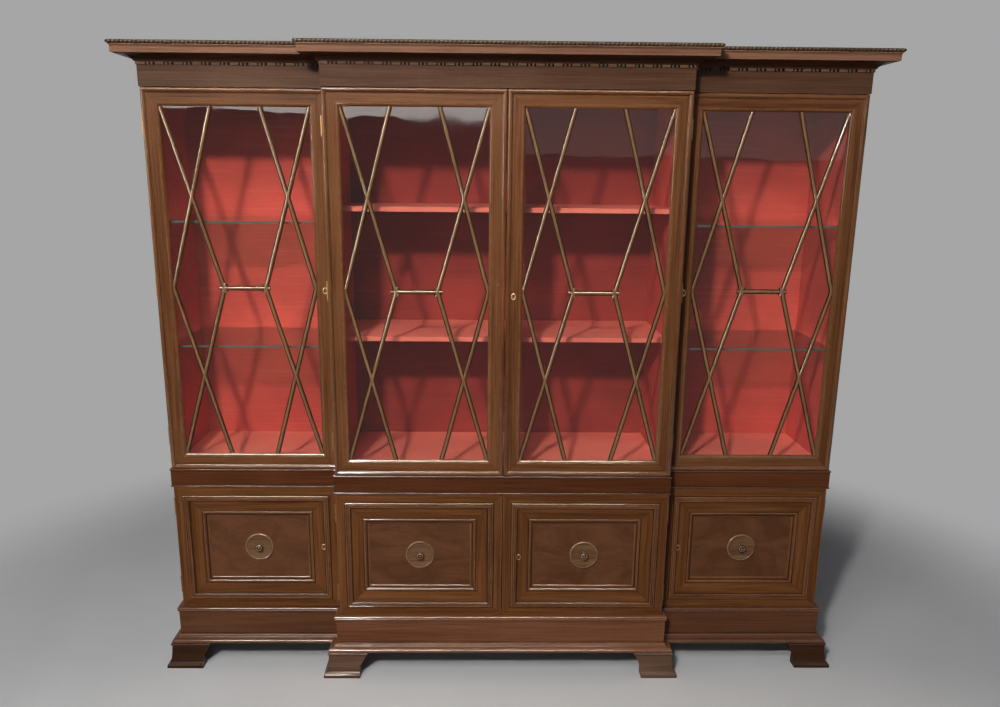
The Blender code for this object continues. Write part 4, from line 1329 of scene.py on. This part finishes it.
def stored(geometry, name, value, kind="FLOAT", domain="POINT"):
    inputs = {"Geometry": geometry, "Name": name, "Value": value}
    return addNode(geometry.tree, "GeometryNodeStoreNamedAttribute", inputs, data_type=kind, domain=domain)


def latticeTree(sizes):
    tree, source = newTree("astragalLattice", sizes)
    bars = addNode(tree, "GeometryNodeMeshToCurve", {"Mesh": source["Geometry"]})
    bars = addNode(tree, "GeometryNodeSetCurveNormal", {"Curve": bars, "Normal": (0, -1, 0)}, mode="FREE")
    reach = addNode(tree, "GeometryNodeSplineParameter", (), "Length")
    number = addNode(tree, "GeometryNodeInputIndex")
    bars = stored(bars, "along", reach + number * source["Grain shift"])
    section = addNode(tree, "GeometryNodeObjectInfo", {"Object": source["Section"]}, "Geometry")
    size = vector(tree, source["Bar width"], source["Bar height"], 1.0)
    # the section's height goes along the bar's normal
    section = transformed(section, Scale=size, Rotation=(0.0, 0.0, -pi / 2))
    section = addNode(tree, "GeometryNodeMeshToCurve", {"Mesh": section})
    section = stored(section, "around", addNode(tree, "GeometryNodeSplineParameter", (), "Length"))
    inputs = {"Curve": bars, "Profile Curve": section, "Fill Caps": True}
    whole = addNode(tree, "GeometryNodeCurveToMesh", inputs)
    place = [addNode(tree, "GeometryNodeInputNamedAttribute", {"Name": name}, data_type="FLOAT")
             for name in ("along", "around")]
    return endTree(stored(whole, "grain", vector(tree, *place), "FLOAT2", "CORNER"), source)


def barTone(rise):
    # the fillets beside the beads are darkened, as dirt and painted shade, and the crowns lightened, as wear
    # and painted highlight
    if rise > latticeLook.quirkTop:
        return latticeLook.rubbed
    return latticeLook.dirt if rise > latticeLook.quirkLow else 0.0


def makeLattices():
    section = barSection()
    sizes = {**latticeSizes, "Section": section}
    tree = latticeTree(sizes)
    for bay in bays:
        light = insetRect(doorRect(bay, "upper"), glazedWidths(bay))
        wide, tall = light["right"] - light["left"], light["high"] - light["low"]
        back, play = bay.face + latticeLook.depth, latticeLook.play
        points = []
        for bar in latticeShares:
            start, end = [Vector((light["left"] + a * wide, back, light["low"] + b * tall)) for a, b in bar]
            past = (end - start).normalized() * latticeSizes["Bar width"]
            points += [start - past, end + past]
        lattice = grown(bay.name + "_astragal_lattice", tree, pairsMesh(points), sizes, mahoganies["bars"])
        low = (light["left"] + play, bay.face - 5 * mm, light["low"] + play)
        high = (light["right"] - play, bay.face + 20 * mm, light["high"] - play)
        carve(lattice, [boxCutter(low, high)], "INTERSECT", True)
        tones = [barTone(back - vertex.co.y) for vertex in lattice.data.vertices]
        lattice.data.attributes["tone"].data.foreach_set("value", tones)
        finished(lattice, bay.name + "_upper_door", [bay.name + "_lattice"], angle=40)
    drop([section])


makeLattices()
makeWaxSpot(bays[1])
for bay in bays:
    makeGlazedFrame(bay)
    makeCupboardFrame(bay)
    makePull(bay)
    if bay.locked:
        makeKeyholePlate(bay, "upper")
        makeKeyholePlate(bay, "lower")
print("bookcase: doors made")


# Butt hinges: the outer knuckles stay with the case, the middle one turns with the door
hingeSizes = inMm(
    upper=(886.5, 1417, 1947.5), lower=(308.7, 618.3),  # levels of their middles
    half=33, middleHalf=13, gap=0.3, knuckle=3.2, rim=0.35, tip=0.8, out=3.5, behind=22.3, bite=0.4,
    caseLeaf=(22.55, 24.6), caseReach=11, doorLeaf=(20, 22.05), doorReach=18.5,
    caseScrew=6, doorScrew=11, spread=23, ease=0.3,
)
screwProfile = ((0, -0.5), (2.3, -0.5), (2.3, 0.05), (2, 0.22), (1, 0.34), (0, 0.38))
shelfPinProfile = ((0, -0.5), (2.9, -0.5), (2.9, 8), (2.6, 8.6), (1.9, 9), (0, 9))
pinLevels = inMm(wooden=(1672.7, 1226.7), glass=(1628.7, 1200.7))
pinDepths = (-76.9 * mm, 228.2 * mm)


def addHingeHalf(mesh, bay, level, part):
    look = hingeSizes
    hand, caseX, face = bay.hand, bay.caseX, bay.face
    axis = (caseX + hand * look.out, face + look.behind)
    near, far = look[part + "Leaf"]
    inner = caseX - hand * look[part + "Reach"]
    addBoard(mesh, (inner, face + near, level - look.half), (caseX, face + far, level + look.half), look.ease)
    middle, rim, radius = look.middleHalf, look.rim, look.knuckle
    spans = [(level - middle, level + middle)]
    if part == "case":
        outer, start = look.half - look.tip, middle + look.gap
        spans = [(level - outer, level - start), (level + start, level + outer)]
        for way in (-1, 1):
            tip = ((0, 0), (1.7, 0), (1.7, way * 0.3), (1.1, way * 0.65), (0, way * 0.8))
            addTurning(mesh, profile(tip, level + way * outer), axis, onPlan, 12)
    for low, high in spans:
        points = [(0, low), (radius - rim, low), (radius, low + rim), (radius, high - rim),
                  (radius - rim, high), (0, high)]
        addTurning(mesh, points, axis, onPlan, 18)
        addBoard(mesh, (caseX - hand * look.bite, face + near, low), (axis[0], face + far, high), look.ease)


def turnedFitting(name, points, sides):
    mesh = newMesh()
    addTurning(mesh, profile(points), (0.0, 0.0), onPlan, sides)
    return meshObject(name, mesh)


def fittingTree(name, fitting):
    sizes = {"Fitting": fitting, "Seed": 3}
    tree, source = newTree(name, sizes)
    shape = addNode(tree, "GeometryNodeObjectInfo", {"Object": source["Fitting"]}, "Geometry")
    return endTree(placedOnMarks(tree, source, shape, source["Seed"]), source), sizes


def placeFittings(name, fitting, marks, body, nodes):
    # fitting is a tree with its sizes
    piece = grown(name, fitting[0], marksMesh(marks), fitting[1], skins.brass)
    finished(piece, body, nodes)


def addLockPlate(mesh, bay, row):
    # the plate that faces the lock in the edge of the stile; its two screws' marks come back
    look = lockSizes
    low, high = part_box(bay.name + "_" + row + "_lock_bolt")
    middle = (low + high) / 2
    half = Vector((0.0, look.plateWidth / 2, look.plateLength / 2))
    face = Vector((bay.lockEdge - bay.hand * look.plateProud, middle.y, middle.z))
    sunk = Vector((bay.lockEdge + bay.hand * look.plateSunk, middle.y, middle.z))
    addBoard(mesh, face - half, sunk + half, 0.2 * mm)
    return [((face.x, face.y, face.z + way * look.screwReach), (-bay.hand, 0, 0)) for way in (-1, 1)]


def makeHinges():
    look = hingeSizes
    head = carve(turnedFitting("screw_head", screwProfile, 14),
                 [boxCutter((-3 * mm, -0.25 * mm, -0.1 * mm), (3 * mm, 0.25 * mm, 1 * mm))])
    screws = fittingTree("screws", head)
    caseMeshes, caseMarks = {}, []
    for bay in bays:
        for row in ("upper", "lower"):
            doorMesh, doorMarks = newMesh(), []
            carrier = row + ("_end_" if bay.wing else "_partition_") + ("left" if bay.hand < 0 else "right")
            caseMesh = caseMeshes.setdefault(carrier, newMesh())
            for level in look[row]:
                addHingeHalf(doorMesh, bay, level, "door")
                addHingeHalf(caseMesh, bay, level, "case")
                for step in (-1, 0, 1):
                    lift = level + step * look.spread
                    across = bay.caseX - bay.hand * look.caseScrew
                    inside = bay.caseX - bay.hand * look.doorScrew
                    caseMarks.append(((across, bay.face + look.caseLeaf[0], lift), (0, -1, 0)))
                    doorMarks.append(((inside, bay.face + look.doorLeaf[1], lift), (0, 1, 0)))
            door = bay.name + "_" + row
            if bay.locked:
                doorMarks += addLockPlate(doorMesh, bay, row)
            leaves = meshObject(door + "_brass", doorMesh, [skins.brass])
            if bay.locked:
                carve(leaves, [boltCutter(bay, row)])
            finished(leaves, door + "_door", [door + "_frame"])
            placeFittings(door + "_screws", screws, doorMarks, door + "_door", [door + "_frame"])
    for carrier, mesh in caseMeshes.items():
        finished(meshObject(carrier + "_hinges", mesh, [skins.brass]), "case", [carrier])
    placeFittings("case_screws", screws, caseMarks, "case", list(caseMeshes))
    drop([head])


def makeShelfPins():
    pin = turnedFitting("shelf_pin", shelfPinProfile, 16)
    pins = fittingTree("shelfPins", pin)
    for side, hand in hands:
        rows = (("upper_partition_" + side, case.halfCentre - case.board, -hand, "wooden"),
                ("upper_partition_" + side, case.halfCentre, hand, "glass"),
                ("upper_end_" + side, case.halfWidth - case.board, -hand, "glass"))
        for carrier, across, facing, kind in rows:
            spots = [(hand * across, deep, level) for deep in pinDepths for level in pinLevels[kind]]
            marks = [(spot, (facing, 0, 0)) for spot in spots]
            placeFittings(carrier + "_" + kind + "_shelf_pins", pins, marks, "case", [carrier])
    drop([pin])


makeHinges()
makeShelfPins()
print("bookcase: hinges, locks and shelf pins made")


# Boards, shelves, panes, panels and bolts that keep the frame's shape: the first mark that fits the
# name gives the skin
keptSkins = {
    "glass_shelf": skins.shelfGlass, "_glass": skins.glass, "_panel": mahoganies["panels"],
    "_bolt": skins.brass, "centre_shelf": skins.redShelf, "upper_floor_board": skins.redFloor,
    "upper_back": skins.redBack, "top_board": skins.redTop, "lower_back": mahoganies["linings"],
    "lower_floor_board": mahoganies["linings"],
}
for name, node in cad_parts.items():
    skin = next((keptSkins[mark] for mark in keptSkins if mark in name), None)
    if skin and not node.hide_render:
        for place in node.material_slots:
            place.material = skin
        node.data.shade_smooth()
        node.data.set_sharp_from_angle(angle=radians(32))
print("bookcase: kept boards painted")


# Camera, found by fitting the photograph
cameraLook = Named(place=(-0.1047, -3.2281, 1.8117), yaw=0.01852, pitch=-0.25717, roll=0.00926, lens=32.371,
                   shift=(0.0101, 0.0541))


def makeCamera():
    yaw, pitch, roll = cameraLook.yaw, cameraLook.pitch, cameraLook.roll
    ahead = Vector((sin(yaw) * cos(pitch), cos(yaw) * cos(pitch), sin(pitch)))
    level = Vector((cos(yaw), -sin(yaw), 0.0))
    above = level.cross(ahead)
    right = level * cos(roll) + above * sin(roll)
    up = above * cos(roll) - level * sin(roll)
    camera = linked("camera", bpy.data.cameras.new("camera"))
    turn = Matrix((right, up, -ahead)).transposed().to_4x4()
    camera.matrix_world = Matrix.Translation(cameraLook.place) @ turn
    camera.data.lens = cameraLook.lens
    camera.data.shift_x, camera.data.shift_y = cameraLook.shift
    bpy.context.scene.camera = camera


# Studio: a pale floor, soft lamps and a flat grey beyond
studioLook = Named(
    grey=(0.381, 0.381, 0.381, 1.0), ambient=(0.11, 0.11, 0.12, 1.0),
    floorBounce=(0.13, 0.12, 0.12, 1.0),  # what the floor gives back to the wood
    floorDark=(0.5, 0.5, 0.5, 1.0), floorLight=(0.52, 0.52, 0.52, 1.0), floorHalf=15.0,
    fadeFrom=1.9, fadeTo=3.0,  # where the floor turns into the flat grey
)
lamps = {
    "key": {"place": (-1.2, -4.2, 3.6), "aim": (0.0, 0.0, 1.2), "size": (0.28, 0.3), "power": 175},
    "over": {"place": (-1.3, -3.2, 3.9), "aim": (0.0, 0.2, 0.8), "size": (2.0, 0.3), "power": 66},
    "strip": {"place": (-1.55, -6.0, 2.46), "aim": (-1.55, 0.0, 2.3), "size": (3.7, 0.28), "power": 20,
              "turn": -2.0, "colour": (1.0, 0.95, 0.91)},
    # these three are seen only in the polish and the panes
    "window": {"place": (-4.0, -2.6, 2.9), "aim": (0.0, -0.2, 1.6), "size": (1.0, 2.8), "power": 600,
               "colour": (1.0, 0.88, 0.74), "mirrored": True},
    "gleam": {"place": (-0.6, -2.0, 4.25), "aim": (-0.5, 0.0, 0.8), "size": (3.6, 0.4), "power": 800,
              "colour": (1.0, 0.86, 0.68), "mirrored": True},
    "card": {"place": (2.0, -6.0, 2.58), "aim": (2.0, 0.0, 2.5), "size": (3.6, 1.26), "power": 9,
             "colour": (1.0, 0.84, 0.78), "mirrored": True},
}


def makeLamp(name, look):
    light = bpy.data.lights.new(name, "AREA")
    light.shape = "RECTANGLE"
    light.size, light.size_y = look["size"]
    light.energy = look["power"]
    light.color = look.get("colour", (1.0, 1.0, 1.0))
    lamp = linked("lamp_" + name, light)
    lamp.location = look["place"]
    way = Vector(look["aim"]) - Vector(look["place"])
    turn = Matrix.Rotation(radians(look.get("turn", 0)), 3, "Z")
    lamp.rotation_euler = (way.to_track_quat("-Z", "Y").to_matrix() @ turn).to_euler()
    lamp.visible_diffuse = not look.get("mirrored", False)


def seenRay(tree):
    # 1 for what the camera sees, also in a mirror or through glass
    camera, glossy, through = [addNode(tree, "ShaderNodeLightPath", (), "Is " + kind + " Ray")
                               for kind in ("Camera", "Glossy", "Transmission")]
    return camera.maths("MAXIMUM", glossy).maths("MAXIMUM", through)


def makeWorld():
    world = bpy.data.worlds.new("studio")
    world.use_nodes = True
    colour = blend(seenRay(world.node_tree), studioLook.ambient, studioLook.grey)
    feed(world.node_tree.nodes["Background"], {"Color": colour})
    bpy.context.scene.world = world


def makeFloor():
    look = studioLook
    material, tree, place = newMaterial("studio_floor")
    reach = addNode(tree, "ShaderNodeVectorMath", {0: place}, "Value", operation="LENGTH")
    colour = ramp(noise(place, 3, 3), ((0.3, look.floorDark), (0.7, look.floorLight)))
    coated(material, Base_Color=colour, Roughness=0.9, Specular_IOR_Level=0.0)
    near = Wire(tree.nodes["Principled BSDF"].outputs[0])
    plain = addNode(tree, "ShaderNodeEmission", {"Color": look.grey})
    bounce = addNode(tree, "ShaderNodeBsdfDiffuse", {"Color": look.floorBounce})
    seen = mixed(between(reach, look.fadeFrom, look.fadeTo), near, plain)
    surfaced(material, mixed(seenRay(tree), bounce, seen))
    data = bpy.data.meshes.new("studio_floor")
    half = look.floorHalf
    data.from_pydata([(x, y, 0) for x, y in corners((-half, -half), (half, half))], [], [(0, 1, 2, 3)])
    data.materials.append(material)
    linked("studio_floor", data)


makeCamera()
for name, look in lamps.items():
    makeLamp(name, look)
makeWorld()
makeFloor()
bpy.context.scene.view_settings.view_transform = "Standard"
print("bookcase: camera, lamps and floor made")
